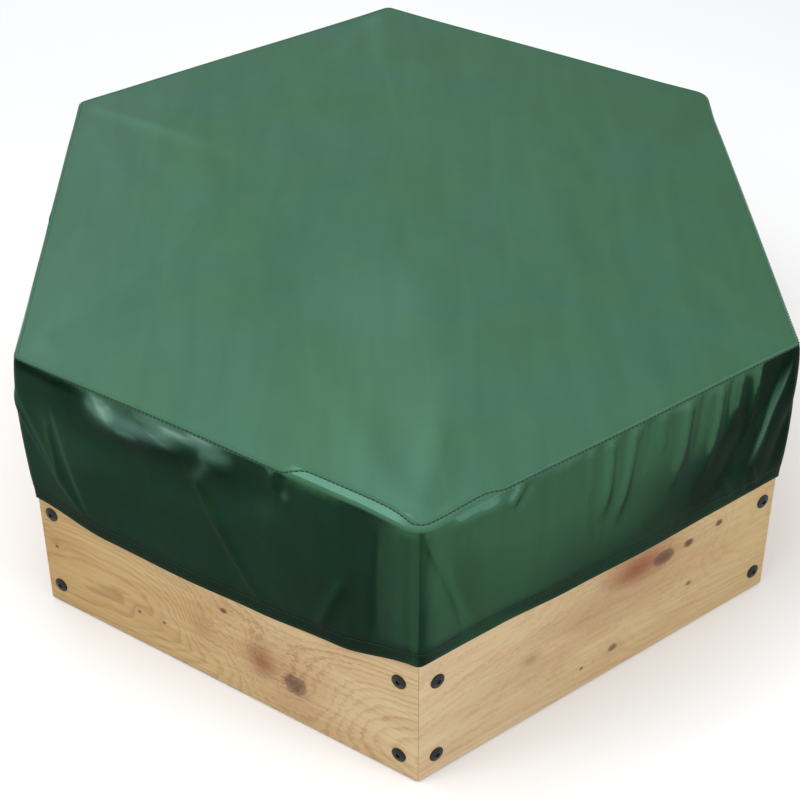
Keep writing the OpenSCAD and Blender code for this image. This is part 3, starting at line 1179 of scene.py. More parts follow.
    def inward(self, flat: np.ndarray) -> np.ndarray:
        """How far places in plan lie in from the boards' outer faces."""
        normals, reach = self.plan.planes()
        return np.maximum(np.min(reach - flat @ normals.T, axis=1), 0)

    def ride(self, skirt: np.ndarray, inset_mm: np.ndarray) -> np.ndarray:
        """Follows the cloth round at a distance in from the top's rim, or down from it where negative.

        Args:
            skirt: The skirt's points by column and row.
            inset_mm: The distance at each column, measured along the cloth.

        Returns:
            One point for each column.
        """
        _, n = self.outline(self.skirt_cells, self.stand_off_mm, 1.0, 1.0)
        flat = skirt[:, 0, :2] - n * np.maximum(inset_mm, 0)[:, None] * MM
        rise = self.top_lift(flat[:, 0], flat[:, 1], self.inward(flat))
        on_top = np.column_stack([flat, self.top + rise])
        step = np.linalg.norm(np.diff(skirt, axis=1), axis=2)
        run = np.concatenate([np.zeros((len(skirt), 1)), np.cumsum(step, axis=1)], 1) / MM
        columns = range(len(skirt))
        on_skirt = [[np.interp(-inset_mm[c], run[c], skirt[c, :, k]) for k in range(3)] for c in columns]
        return np.where(inset_mm[:, None] > 0, on_top, np.array(on_skirt))

    def seam_inset(self) -> np.ndarray:
        """Places the seam: on the edge, or in on the top where the skirt has been pulled up over it.

        Returns:
            The seam's distance in from the rim at each column, in millimetres.
        """
        side, along, _ = self.columns(self.skirt_cells)
        inset = -2.2 + 0.7 * np.sin(along / 61.0 + side * 2.1)
        left = (side == Side.FRONT_LEFT) * smooth((along - 410) / 20)
        left = left * (17 - 7 * smooth((along - 540) / 50))
        right = (side == Side.FRONT_RIGHT) * (10 - 3.0 * smooth(along / 60))
        right = right * (1 - smooth((along - 96) / 26))
        inset = inset + left + right
        for _ in range(4):
            inset = (np.roll(inset, 1) + 2 * inset + np.roll(inset, -1)) / 4
        return inset

    def top_lift(self, x: np.ndarray, y: np.ndarray, inward: np.ndarray) -> np.ndarray:
        """Shapes the top panel: a slack middle between the seat boards, and faint pulls from the corners.

        Args:
            x: Places across the box.
            y: Places along the box.
            inward: Distance of each place from the edge of the top.

        Returns:
            The rise at each place, in metres.
        """
        rng = np.random.default_rng(self.seed + 2)
        slack = smooth((inward - 0.10) / 0.26)
        edge = smooth(inward / 0.03)
        z = -self.sag_mm * slack
        for _ in range(10):
            kx, ky = rng.normal(0, 16), rng.normal(0, 9)
            size, phase = rng.uniform(0.25, 0.75), rng.uniform(0, 6.28)
            z = z + size * np.sin(kx * x + ky * y + phase) * (0.25 + 0.75 * slack)
        for corner in range(6):
            c = self.plan.corners[corner]
            to_middle = -c / np.linalg.norm(c)
            for _ in range(5):
                turn = rng.normal(0, 0.34)
                cos, sin = math.cos(turn), math.sin(turn)
                d = (to_middle[0] * cos - to_middle[1] * sin, to_middle[0] * sin + to_middle[1] * cos)
                t = (x - c[0]) * d[0] + (y - c[1]) * d[1]
                across = (x - c[0]) * -d[1] + (y - c[1]) * d[0]
                width = rng.uniform(0.010, 0.026) + 0.03 * np.clip(t, 0, 1)
                size, reach = rng.uniform(0.3, 0.95), rng.uniform(0.25, 0.5)
                pull = size * np.exp(-((across / width) ** 2)) * smooth(t / 0.05)
                z = z + pull * (1 - smooth((t - 0.10) / reach))
        return z * MM * edge


@dataclass
class Cover:
    """The sewn cover: one sheet for top and skirt, a felled seam, stitches and a turned hem."""

    shape: CoverShape
    cloth_mm: float = 1.0
    # How far the hem's stitches lie from its edge.
    hem_mm: float = 20.0
    pieces: list[bpy.types.Object] = field(default_factory=list)

    def top_grid(self, rim: np.ndarray) -> tuple[np.ndarray, list[tuple[int, ...]], np.ndarray]:
        """A grid of three rhombs that fills the rim.

        Args:
            rim: The closed line of points that the grid ends in, top_cells on each side.

        Returns:
            The points, the faces, and the number of the grid point at each place of the rim.
        """
        n = self.shape.top_cells
        hexagon = self.shape.plan.corners
        share = self.shape.spread(n)
        flat: list[np.ndarray] = []
        faces: list[tuple[int, ...]] = []
        index: dict[tuple[int, ...], int] = {}

        def number(k: int, i: int, j: int) -> int:
            """Numbers a rhomb's point; those on the lines to the corners are shared.

            Args:
                k: The corner that the rhomb's first edge runs to.
                i: Steps from the middle towards that corner.
                j: Steps from the middle towards the next corner but one.

            Returns:
                The point's number.
            """
            key: tuple[int, ...] = (2, k, i, j)
            if i == j == 0:
                key = (0,)
            elif j == 0:
                key = (1, k, i)
            elif i == 0:
                key = (1, (k + 2) % 6, j)
            if key not in index:
                index[key] = len(flat)
                u, v = share[i], share[j]
                a, m, b = hexagon[k], hexagon[(k + 1) % 6], hexagon[(k + 2) % 6]
                flat.append(a * u * (1 - v) + m * u * v + b * v * (1 - u))
            return index[key]

        for k in (0, 2, 4):
            for i in range(n):
                for j in range(n):
                    ring = ((i, j), (i + 1, j), (i + 1, j + 1), (i, j + 1))
                    faces.append(tuple(number(k, *place) for place in ring))
        edge: list[int] = []
        for k in (0, 2, 4):
            edge += [number(k, n, j) for j in range(n)] + [number(k, n - i, n) for i in range(n)]
        p = np.array(flat)
        rim_ids = np.array(edge)
        # Scale each ray from the middle, so that the grid's edge lands on the rim.
        sharp = p[rim_ids]
        ratio = np.linalg.norm(rim, axis=1) / np.linalg.norm(sharp, axis=1)
        angle = np.arctan2(sharp[:, 1], sharp[:, 0])
        order = np.argsort(angle)
        normals, reach = self.shape.plan.planes()
        gauge = np.max(p @ normals.T / reach, axis=1)
        theta = np.arctan2(p[:, 1], p[:, 0])
        scale = np.interp(theta, angle[order], ratio[order], period=2 * math.pi)
        p = p * (1 + (scale - 1) * np.clip(gauge, 0, 1) ** 10)[:, None]
        p[rim_ids] = rim
        z = self.shape.top + self.shape.top_lift(p[:, 0], p[:, 1], self.shape.inward(p))
        return np.column_stack([p, z]), faces, rim_ids

    def build_sheet(self) -> tuple[bpy.types.Object, np.ndarray, np.ndarray]:
        """Makes the sheet.

        Returns:
            The sheet, the skirt's points by column and row, and their distance below the top edge.
        """
        skirt, down, side = self.shape.skirt()
        cols, rows = skirt.shape[:2]
        step = self.shape.skirt_cells // self.shape.top_cells
        rim = skirt[::step, 0, :2]
        top, faces, rim_ids = self.top_grid(rim)
        count = len(top)
        points = np.concatenate([top, skirt[:, 1:].reshape(-1, 3)])

        def at(col: int, row: int) -> int:
            """The number of a skirt point; row 1 is the first below the rim."""
            return count + (col % cols) * (rows - 1) + row - 1

        rim_count = len(rim_ids)
        for k in range(rim_count):
            a, b = int(rim_ids[k]), int(rim_ids[(k + 1) % rim_count])
            c = k * step
            low = [at(c + i, 1) for i in range(step + 1)]
            faces.append((b, a, *low))
        for c in range(cols):
            for r in range(1, rows - 1):
                faces.append((at(c, r), at(c, r + 1), at(c + 1, r + 1), at(c + 1, r)))
        sheet = add_piece("cover_sheet", points, faces)
        sheet.data.validate()

        # The cut: top points lie in plan, skirt points along the edge and down from it.
        _, along, _ = self.shape.columns(self.shape.skirt_cells)
        turn = np.cumsum(np.r_[0, np.linalg.norm(np.diff(skirt[:, rows // 2], axis=0), axis=1)])
        flat = np.zeros((len(points), 2))
        flat[:count] = top[:, :2]
        flat[count:, 0] = np.repeat(turn, rows - 1)
        flat[count:, 1] = -down[:, 1:].reshape(-1) * MM - 2.0
        set_cut(sheet.data, flat)
        # Painted light and shade, and painted sheen, stored on the sheet's points.
        tone = self.shape.skirt_tone(skirt, down, side)[:, 1:].reshape(-1)
        self.set_share(sheet.data, "tone", np.concatenate([self.shape.top_tone(top), tone]))
        painted_sheen = self.shape.skirt_painted_sheen(down, side)[:, 1:].reshape(-1)
        self.set_share(sheet.data, "painted_sheen", np.concatenate([self.shape.top_painted_sheen(top), painted_sheen]))
        LOG.info("cover sheet: %d points, %d faces", len(points), len(faces))
        return sheet, skirt, down

    def set_share(self, mesh: bpy.types.Mesh, name: str, share: np.ndarray | float) -> None:
        """Stores a share for each point, such as its painted light."""
        attribute = mesh.attributes.new(name, "FLOAT", "POINT")
        attribute.data.foreach_set("value", np.broadcast_to(share, (len(mesh.vertices),)).astype(np.float32))

    def line_at(self, skirt: np.ndarray, down: np.ndarray, depth_mm: float | np.ndarray) -> np.ndarray:
        """Follows the cloth round, at a depth below the top edge.

        Args:
            skirt: The skirt's points by column and row.
            down: Their distance below the top edge in millimetres.
            depth_mm: The depth, for all columns or for each.

        Returns:
            One point for each column.
        """
        depth = np.broadcast_to(depth_mm, (len(skirt),))
        line = np.zeros((len(skirt), 3))
        for c in range(len(skirt)):
            for k in range(3):
                line[c, k] = np.interp(depth[c], down[c], skirt[c, :, k])
        return line

    def build_strip(self, name: str, rows: list[np.ndarray]) -> bpy.types.Object:
        """Makes a closed band from rows of points that run round the cover.

        Args:
            name: The piece's name.
            rows: The band's lines, in order across it; the last joins the first.

        Returns:
            The band.
        """
        n = len(rows[0])
        points = np.concatenate(rows)
        faces = []
        for k in range(len(rows)):
            j = (k + 1) % len(rows)
            for c in range(n):
                d = (c + 1) % n
                faces.append((k * n + c, k * n + d, j * n + d, j * n + c))
        band = add_piece(name, points, faces)
        turn = np.cumsum(np.r_[0, np.linalg.norm(np.diff(rows[0], axis=0), axis=1)])
        set_cut(band.data, np.array([(turn[c], k * 2 * MM) for k in range(len(rows)) for c in range(n)]))
        return band

    def cloth_normal(self, skirt: np.ndarray, inset_mm: np.ndarray) -> np.ndarray:
        """Works out which way the cloth faces along a line on it.

        Args:
            skirt: The skirt's points by column and row.
            inset_mm: The line's distance in from the rim at each column.

        Returns:
            The way out of the cloth at each column.
        """
        line = self.shape.ride(skirt, inset_mm)
        run = np.roll(line, -1, axis=0) - np.roll(line, 1, axis=0)
        fall = self.shape.ride(skirt, inset_mm - 1.0) - self.shape.ride(skirt, inset_mm + 1.0)
        n = np.cross(fall, run)
        n /= np.maximum(np.linalg.norm(n, axis=1, keepdims=True), 1e-9)
        for _ in range(3):
            n = np.roll(n, 1, axis=0) + 2 * n + np.roll(n, -1, axis=0)
            n /= np.linalg.norm(n, axis=1, keepdims=True)
        return n

    def build_stitches(
        self,
        name: str,
        line: np.ndarray,
        normal: np.ndarray,
        pitch_mm: float,
        long_mm: float,
        thick_mm: float,
    ) -> bpy.types.Object:
        """Makes a row of stitches along a closed line.

        Args:
            name: The piece's name.
            line: The line that the thread follows.
            normal: The way out of the cloth at each of the line's points.
            pitch_mm: Distance from stitch to stitch.
            long_mm: Length of one stitch.
            thick_mm: Width of the thread.

        Returns:
            The stitches.
        """
        closed = np.vstack([line, line[:1]])
        out = np.vstack([normal, normal[:1]])
        along = np.r_[0, np.cumsum(np.linalg.norm(np.diff(closed, axis=0), axis=1))]
        count = int(along[-1] / (pitch_mm * MM))
        at = (np.arange(count) + 0.5) * along[-1] / count

        def sample(s: np.ndarray, values: np.ndarray) -> np.ndarray:
            """Values at distances along the line."""
            return np.stack([np.interp(s % along[-1], along, values[:, k]) for k in range(3)], 1)

        points: list[np.ndarray] = []
        faces: list[tuple[int, ...]] = []
        ring = [(1.0, 0.0), (0.5, 0.8), (-0.5, 0.8), (-1.0, 0.0)]
        profile = [(-0.5, 0.25, -0.3), (-0.28, 0.9, 0.45), (0.28, 0.9, 0.45), (0.5, 0.25, -0.3)]
        half = thick_mm * MM / 2
        stations = []
        for share, size, rise in profile:
            p = sample(at + share * long_mm * MM, closed)
            n = sample(at + share * long_mm * MM, out)
            n /= np.linalg.norm(n, axis=1, keepdims=True)
            ahead = sample(at + (share + 0.05) * long_mm * MM, closed) - p
            ahead /= np.linalg.norm(ahead, axis=1, keepdims=True)
            wide = np.cross(ahead, n)
            station = [p + wide * (x * half * size) + n * ((y * size + rise) * half) for x, y in ring]
            stations.append(station)
        for i in range(count):
            base = len(points)
            for station in stations:
                points.extend(r[i] for r in station)
            for s in range(3):
                for k in range(4):
                    j = (k + 1) % 4
                    a = base + s * 4
                    faces.append((a + k, a + j, a + 4 + j, a + 4 + k))
            faces.append((base + 3, base + 2, base + 1, base))
            faces.append((base + 12, base + 13, base + 14, base + 15))
        return add_piece(name, np.array(points), faces)

    def build(self, cloth: Finish, thread: Finish) -> None:
        """Makes and dresses the cover, and puts it on its body.

        Args:
            cloth: The finish of the sheet, the seam and the turned hem.
            thread: The finish of the stitches.
        """
        sheet, skirt, down = self.build_sheet()
        n = self.shape.normals(skirt)
        solid = sheet.modifiers.new("cloth", "SOLIDIFY")
        solid.thickness = self.cloth_mm * MM
        solid.offset = -1.0

        # The felled seam: the cloth's two edges, turned in and sewn down as a rounded rib.
        inset = self.shape.seam_inset()
        across = (2.6, 1.8, 0.6, -0.6, -1.4, -1.9)
        proud = (0.0, 0.6, 0.95, 0.9, 0.5, -0.1)
        rows = []
        for offset, rise in zip(across, proud):
            middle = self.shape.ride(skirt, inset + offset)
            rows.append(middle + self.cloth_normal(skirt, inset + offset) * rise * MM)
        rows.append(self.shape.ride(skirt, inset) - self.cloth_normal(skirt, inset) * 0.4 * MM)
        seam = self.build_strip("cover_seam", rows)
        # The seam takes the top's painted light.
        self.set_share(seam.data, "tone", TOP_LIGHT_LEVEL + 0.02)
        line = self.shape.ride(skirt, inset - 2.5)
        out = self.cloth_normal(skirt, inset - 2.5)
        stitches = self.build_stitches("cover_seam_stitches", line + out * 0.2 * MM, out, 6.0, 5.0, 1.5)
        hem_depth = down[:, -1] - self.hem_mm
        hem_line = self.line_at(skirt, down, hem_depth)
        row_at = np.array([np.argmin(np.abs(down[c] - hem_depth[c])) for c in range(len(skirt))])
        hem_n = n[np.arange(len(skirt)), row_at]
        hem = self.build_stitches("cover_hem_stitches", hem_line + hem_n * 0.1 * MM, hem_n, 5.0, 3.6, 0.9)
        # The turned hem, a second layer inside the skirt: how far up it each line lies, and its gap.
        inner = []
        for up, gap in ((0.0, 0.0), (5.0, 0.25), (11.0, 0.25), (17.0, 0.25), (22.0, 0.05)):
            outer = self.line_at(skirt, down, down[:, -1] - up)
            inner.append(outer - hem_n * (self.cloth_mm + gap) * MM)
        back = [p - hem_n * 0.35 * MM for p in inner[::-1]]
        turned = self.build_strip("cover_turned_hem", inner + back)
        # The turned hem takes the skirt's painted shade.
        self.set_share(turned.data, "tone", SKIRT_SHADE_LEVEL)
        self.pieces = [sheet, seam, stitches, hem, turned]
        cloth.dress(sheet, seam, turned)
        thread.dress(stitches, hem)
        for piece in self.pieces:
            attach(piece, "cover")
        names = ["cover_top_panel"] + [f"cover_skirt_{side.name.lower()}" for side in Side]
        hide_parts(*names)
        round_it = sum(self.shape.plan.edge(s)[1] for s in range(6))
        LOG.info("cover: %d pieces", len(self.pieces))


# ---------------------------------------------------------------- the liner


@dataclass
class Liner:
    """The ground liner: a felted sheet laid on the ground inside the boards, with low wrinkles."""

    plan: Footprint
    gap_mm: float = 21.5
    cells: int = 60

    def build(self, felt: Finish) -> None:
        """Makes the sheet, lays it and puts it on the box.

        Args:
            felt: The sheet's finish.
        """
        low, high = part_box("ground_liner")
        inset = -self.gap_mm * MM
        corners = self.plan.corners + np.array([self.plan.mitre(i) for i in range(6)]) * inset
        share = np.linspace(0, 1, self.cells + 1)
        points: list[tuple[float, float, float]] = []
        faces: list[tuple[int, ...]] = []
        index: dict[tuple[float, float], int] = {}
        normals = np.array([self.plan.outward(s) for s in range(6)])
        reach = np.array([normals[s] @ corners[s] for s in range(6)])
        rng = np.random.default_rng(21)
        waves = []
        for _ in range(9):
            kx, ky = rng.normal(0, 22), rng.normal(0, 22)
            waves.append((kx, ky, rng.uniform(0, 6.28), rng.uniform(0.3, 0.9)))
        for k in (0, 2, 4):
            a, m, b = corners[k], corners[(k + 1) % 6], corners[(k + 2) % 6]
            ids = np.zeros((self.cells + 1, self.cells + 1), int)
            for i, u in enumerate(share):
                for j, v in enumerate(share):
                    p = a * u * (1 - v) + m * u * v + b * v * (1 - u)
                    key = (round(float(p[0]), 6) + 0.0, round(float(p[1]), 6) + 0.0)
                    if key not in index:
                        edge = float(np.min(reach - normals @ p))
                        lift = sum(h * math.sin(kx * p[0] + ky * p[1] + f) for kx, ky, f, h in waves)
                        lift = max(0.0, lift) * 2.2 * float(smooth((edge - 0.09) / 0.12))
                        index[key] = len(points)
                        points.append((float(p[0]), float(p[1]), high.z + lift * MM))
                    ids[i, j] = index[key]
            for i in range(self.cells):
                for j in range(self.cells):
                    ring = ((i, j), (i + 1, j), (i + 1, j + 1), (i, j + 1))
                    faces.append(tuple(int(ids[place]) for place in ring))
        sheet = add_piece("liner_sheet", np.array(points), faces)
        solid = sheet.modifiers.new("felt", "SOLIDIFY")
        solid.thickness = high.z - low.z
        solid.offset = -1.0
        felt.dress(sheet)
        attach(sheet, "box")
        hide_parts("ground_liner")
        LOG.info("liner: %d faces", len(faces))


# ---------------------------------------------------------------- the timber


@dataclass
class Timber:
    """All boards and posts: each keeps its own shape and gets its own board of wood."""

    nodes: dict[str, bpy.types.Object]
    plan: Footprint

    def knots_of(
        self, name: str, rng: np.random.Generator, length_mm: float, height_mm: float
    ) -> tuple[Knot, ...]:
        """Gives a board its knots: set ones for the two lower front boards, and chance ones for the rest.

        Args:
            name: The board's name.
            rng: Where the chance ones are drawn from.
            length_mm: The board's length.
            height_mm: The board's height.

        Returns:
            The knots.
        """
        if name == "lower_board_front_left":
            return (
                Knot(412, 60, 16, 0.30, 0.85, 1.05),
                Knot(362, 74, 9, 0.78, 0.0, 0.85),
                Knot(268, 84, 8, 0.26, 0.0, 0.8),
                Knot(304, 128, 3.6, 0.15),
                Knot(22, 98, 2.0, 0.1),
                Knot(160, 54, 2.0, 0.1),
                Knot(202, 56, 2.0, 0.1),
            )
        if name == "lower_board_front_right":
            return (
                Knot(394, 148, 10, 0.42, 0.9, 1.5),
                Knot(350, 154, 10, 0.95, 0.0, 2.1),
                Knot(312, 126, 14, 0.40, 0.0, 3.0),
                Knot(150, 84, 11, 0.25, 0.0, 3.2),
                Knot(438, 150, 5, 0.2),
                Knot(315, 40, 5, 0.2, 0.8),
                Knot(262, 34, 2.0, 0.1),
                Knot(174, 98, 6, 0.42, 0.16),
                Knot(492, 156, 4, 0.15),
                Knot(446, 78, 3.0, 0.1, 0.8),
            )
        knots = []
        for _ in range(int(rng.integers(1, 4))):
            along, up = rng.uniform(60, length_mm - 60), rng.uniform(0.15, 0.85) * height_mm
            radius, halo = rng.uniform(3, 8), rng.uniform(0.1, 0.3)
            knots.append(Knot(float(along), float(up), float(radius), float(halo)))
        return tuple(knots)

    def tint(self, name: str) -> dict[str, Any]:
        """Gives a board its own colours, where it differs from the rest: the left front ones are more orange.

        Args:
            name: The board's name.

        Returns:
            The finish's fields that differ.
        """
        if name.endswith("front_left"):
            colours = {"pale": "#D0B68B", "late": "#9C7142", "light": "#DEC9A3"}
            return colours | {"end_darkening": (1.0, 0.0), "ring_mm": 5.0, "contrast": 0.72}
        if name.endswith("front_right"):
            colours = {"pale": "#CAB48F", "late": "#A2804F", "light": "#DCCCB0"}
            return colours | {"end_darkening": (0.0, 0.8), "ring_mm": 6.5, "contrast": 0.42}
        return {}

    def dress(self) -> None:
        """Gives each board and post its wood."""
        rng = np.random.default_rng(3)
        tiers = {"lower_board": Slot.SIDE_BOARD, "upper_board": Slot.SIDE_BOARD}
        tiers["seat_board"] = Slot.SEAT_BOARD
        for tier, slot in tiers.items():
            for side in Side:
                name = f"{tier}_{side.name.lower()}"
                low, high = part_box(name)
                d, length = self.plan.edge(side)
                start = self.plan.corners[side]
                height = (high.z - low.z) / MM
                seat = tier == "seat_board"
                sizes: dict[str, Any] = {
                    "angle": math.atan2(d[1], d[0]),
                    "origin": (float(start[0]), float(start[1]), low.z),
                    "length_mm": length / MM,
                    "knots": () if seat else self.knots_of(name, rng, length / MM, height),
                    "pith_mm": (float(rng.uniform(45, 120)), float(rng.uniform(0.25, 0.75) * height)),
                    "taper": float(rng.uniform(-0.07, 0.07)),
                    "seed": float(rng.uniform(0, 40)),
                    "ring_mm": float(rng.uniform(4.5, 7.0)),
                }
                finish = PlanedPine(f"planed_pine_{name}", **(sizes | self.tint(name)))
                finish.dress(self.nodes[name])
        for name, node in self.nodes.items():
            if name.startswith("corner_post"):
                low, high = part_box(name)
                middle = ((low.x + high.x) / 2, (low.y + high.y) / 2, 0.0)
                seed = float(rng.uniform(0, 40))
                UprightPine(f"planed_pine_{name}", origin=middle, seed=seed).dress(node)
        LOG.info("timber: %d boards and posts", sum("board" in n or "post" in n for n in self.nodes))


# ---------------------------------------------------------------- studio


@dataclass
class Studio:
    """A pale floor, soft lights, and the camera in front of and above the near corner."""

    yaw_deg: float = -1.70
    pitch_deg: float = 35.18
    distance: float = 2.489
    lens_mm: float = 81.63
    target: tuple[float, float, float] = (-0.0061, -0.1798, 0.195)

    def build(self) -> None:
        """Makes the floor, the lights, the sky and the camera."""
        floor_mesh = bpy.data.meshes.new("studio_floor")
        floor_mesh.from_pydata([(-30, -30, 0), (30, -30, 0), (30, 30, 0), (-30, 30, 0)], [], [(0, 1, 2, 3)])
        floor = bpy.data.objects.new("studio_floor", floor_mesh)
        floor.location.z = -0.001
        bpy.context.scene.collection.objects.link(floor)
        PaleFloor("matt_painted_floor").dress(floor)

        world = bpy.data.worlds.new("studio_sky")
        bpy.context.scene.world = world
        world.use_nodes = True
        world.node_tree.nodes.clear()
        sky = {"Color": linear("#FBFCFF"), "Strength": 0.72}
        background = add_node(world.node_tree, "Background", inputs=sky)
        add_node(world.node_tree, "OutputWorld", background)

        self.add_light("softbox_overhead", (-0.5, -0.5, 2.7), (-0.1, -0.2, 0.3), 1.8, 35)
        self.add_light("softbox_front_right", (2.6, -2.3, 1.9), (0, -0.3, 0.2), 1.4, 36)
        self.add_light("softbox_front_left", (-2.6, -1.5, 2.6), (0, -0.3, 0.2), 1.0, 20)
        self.add_light("softbox_back", (-0.6, 3.6, 2.4), (0, 0, 0.4), 2.6, 14)

        pitch, yaw = math.radians(self.pitch_deg), math.radians(self.yaw_deg)
        back = Vector((math.sin(yaw) * math.cos(pitch), -math.cos(yaw) * math.cos(pitch), math.sin(pitch)))
        data = bpy.data.cameras.new("camera")
        data.lens = self.lens_mm
        data.sensor_width = 36
        camera = bpy.data.objects.new("camera", data)
        camera.location = Vector(self.target) + back * self.distance
        camera.rotation_euler = (-back).to_track_quat("-Z", "Y").to_euler()
        bpy.context.scene.collection.objects.link(camera)
        bpy.context.scene.camera = camera
        bpy.context.scene.view_settings.view_transform = "Standard"

    def add_light(
        self,
        name: str,
        place: tuple[float, float, float],
        target: tuple[float, float, float],
        size: float,
        watts: float,
    ) -> None:
        """Hangs a square softbox.

        Args:
            name: The light's name.
            place: Where it hangs.
            target: What it faces.
            size: Length of its side.
            watts: Its power.
        """
        data = bpy.data.lights.new(name, "AREA")
        data.shape = "SQUARE"
        data.size = size
        data.energy = watts
        light = bpy.data.objects.new(name, data)
        light.location = place
        light.rotation_euler = (Vector(target) - Vector(place)).to_track_quat("-Z", "Y").to_euler()
        bpy.context.scene.collection.objects.link(light)


# ---------------------------------------------------------------- the whole


def skirt_folds() -> tuple[Fold, ...]:
    """Lists the folds of the two front sides.

    Returns:
        The folds.
    """
    left, right = Side.FRONT_LEFT, Side.FRONT_RIGHT
    return (
        # Diagonal creases left from folding, on the left of the front.
        Fold(left, (-6, 58), (92, 212), 3.6, 5.0, 1.2),
        Fold(left, (50, 74), (62, 172), 2.2, 6.0),
        Fold(left, (276, 52), (366, 210), 3.6, 4.6, 1.2),
        Fold(left, (494, 118), (452, 214), 3.0, 8.0),
        Fold(left, (118, 20), (196, 44), 3.0, 5.0, 1.4),
        Fold(left, (196, 10), (262, 32), 3.0, 5.0, 1.4),
        Fold(left, (404, 4), (414, 34), -2.4, 6.0),
        Fold(left, (392, 2), (398, 30), 3.0, 6.0),
        # The corner's flat face, and the crease that ends it.
        Fold(left, (540, 24), (534, 214), -2.6, 7.0),
        Fold(right, (-12, 18), (-12, 205), -0.7, 6.0),
        Fold(right, (4, 14), (3, 205), 0.4, 7.0),
        Fold(right, (8, 16), (92, 236), -4.2, 5.0, 1.2),
        Fold(right, (22, 30), (104, 236), 0.9, 10.0),
        # The rolled edge, the ridge under it and the tuck that ends it.
        Fold(right, (52, 8), (118, 20), 2.4, 8.0, 1.8),
        Fold(right, (126, 26), (146, 2), 3.0, 7.0, 1.6),
        Fold(right, (136, 34), (160, 4), -2.0, 7.0),
        # Gathers that hang from the seam.
        Fold(right, (214, 3), (206, 52), 1.4, 7.0),
        Fold(right, (247, 3), (240, 74), 2.0, 6.5),
        Fold(right, (279, 2), (268, 106), 4.8, 7.0),
        Fold(right, (316, 2), (292, 126), 5.2, 7.0),
        Fold(right, (341, 2), (330, 78), -2.0, 6.0),
        Fold(right, (364, 2), (356, 58), 2.4, 7.5),
        Fold(right, (402, 2), (384, 118), 4.8, 9.0),
        Fold(right, (427, 2), (418, 84), -2.2, 6.0),
        Fold(right, (457, 2), (441, 122), 4.8, 7.5),
        Fold(right, (478, 2), (468, 88), -2.0, 5.0),
        Fold(right, (493, 2), (484, 66), 2.4, 5.0),
        Fold(right, (521, 2), (508, 118), 4.4, 7.0),
        Fold(right, (540, 2), (530, 96), -2.6, 6.0),
        # The long pull from the right corner, and the hollow beyond it.
        Fold(right, (578, 16), (524, 158), 3.6, 4.0, 1.3),
        Fold(right, (566, 10), (470, 170), -4.5, 22.0, 2.0),
        Fold(right, (612, 26), (566, 180), -4.0, 12.0),
        # Tucks at the hem.
        Fold(right, (474, 156), (508, 206), 3.6, 5.5),
        Fold(right, (508, 168), (532, 206), 2.0, 5.5),
        Fold(right, (528, 164), (552, 206), 2.6, 5.0),
    )


def chance_folds(plan: Footprint, seed: int) -> tuple[Fold, ...]:
    """Draws the other sides' folds by chance: creases from folding, gathers and tucks at the hem.

    Args:
        plan: The box's hexagon.
        seed: The seed of the draw.

    Returns:
        The folds.
    """
    rng = np.random.default_rng(seed)
    folds = []
    for side in (Side.BACK_LEFT, Side.LEFT, Side.RIGHT, Side.BACK_RIGHT):
        length = round(plan.edge(side)[1] / MM)
        for _ in range(4):
            at, lean = rng.uniform(20, length - 20), rng.uniform(-90, 90)
            start, end = (at, rng.uniform(20, 90)), (at + lean, rng.uniform(150, 216))
            folds.append(Fold(side, start, end, rng.uniform(1.4, 2.6), rng.uniform(4, 7), 1.3))
        middle = rng.uniform(0.2, 0.8) * length
        for _ in range(9):
            at = middle + rng.normal(0, 70)
            end = (at + rng.uniform(-22, 22), rng.uniform(60, 150))
            folds.append(Fold(side, (at, 14), end, rng.uniform(1.0, 2.6), rng.uniform(6, 11)))
        corner = float(rng.choice([6, length - 6]))
        inward = 1 if corner < length / 2 else -1
        folds.append(Fold(side, (corner + inward * 10, 24), (corner + inward * 70, 175), 3.0, 7.0, 1.3))
        folds.append(Fold(side, (corner + inward * 12, 30), (corner + inward * 104, 226), -2.6, 5.0, 1.2))
        for _ in range(3):
            at = rng.uniform(60, length - 60)
            end = (at + rng.uniform(-30, 30), 216)
            folds.append(Fold(side, (at, 160), end, rng.uniform(2, 3.6), 5.5))
    return tuple(folds)


def skirt_swells() -> tuple[Swell, ...]:
    """Lists the skirt's soft bulges and hollows.

    Returns:
        The bulges, and the hollows as bulges of negative height.
    """
    left, right = Side.FRONT_LEFT, Side.FRONT_RIGHT
    return (
        Swell(left, (146, 34), (40, 22), 4.6),
        Swell(left, (216, 34), (50, 21), 4.2),
        Swell(left, (312, 28), (26, 15), 4.0),
        Swell(left, (270, 84), (50, 26), -3.0),
        Swell(left, (372, 44), (34, 30), -3.5),
        Swell(left, (120, 140), (70, 50), 3.0),
        Swell(left, (440, 130), (80, 60), 3.0),
        Swell(right, (190, 120), (60, 60), 3.0),
        Swell(right, (330, 160), (80, 34), 2.5),
        Swell(right, (552, 70), (20, 60), -3.5),
        Swell(Side.LEFT, (210, 80), (90, 44), 4.0),
        Swell(Side.LEFT, (520, 120), (90, 60), 4.0),
        Swell(Side.RIGHT, (470, 80), (90, 44), 4.0),
        Swell(Side.RIGHT, (180, 130), (90, 60), 4.0),
        Swell(Side.BACK_LEFT, (300, 70), (110, 40), 5.0),
        Swell(Side.BACK_RIGHT, (240, 60), (90, 36), 6.0),
    )


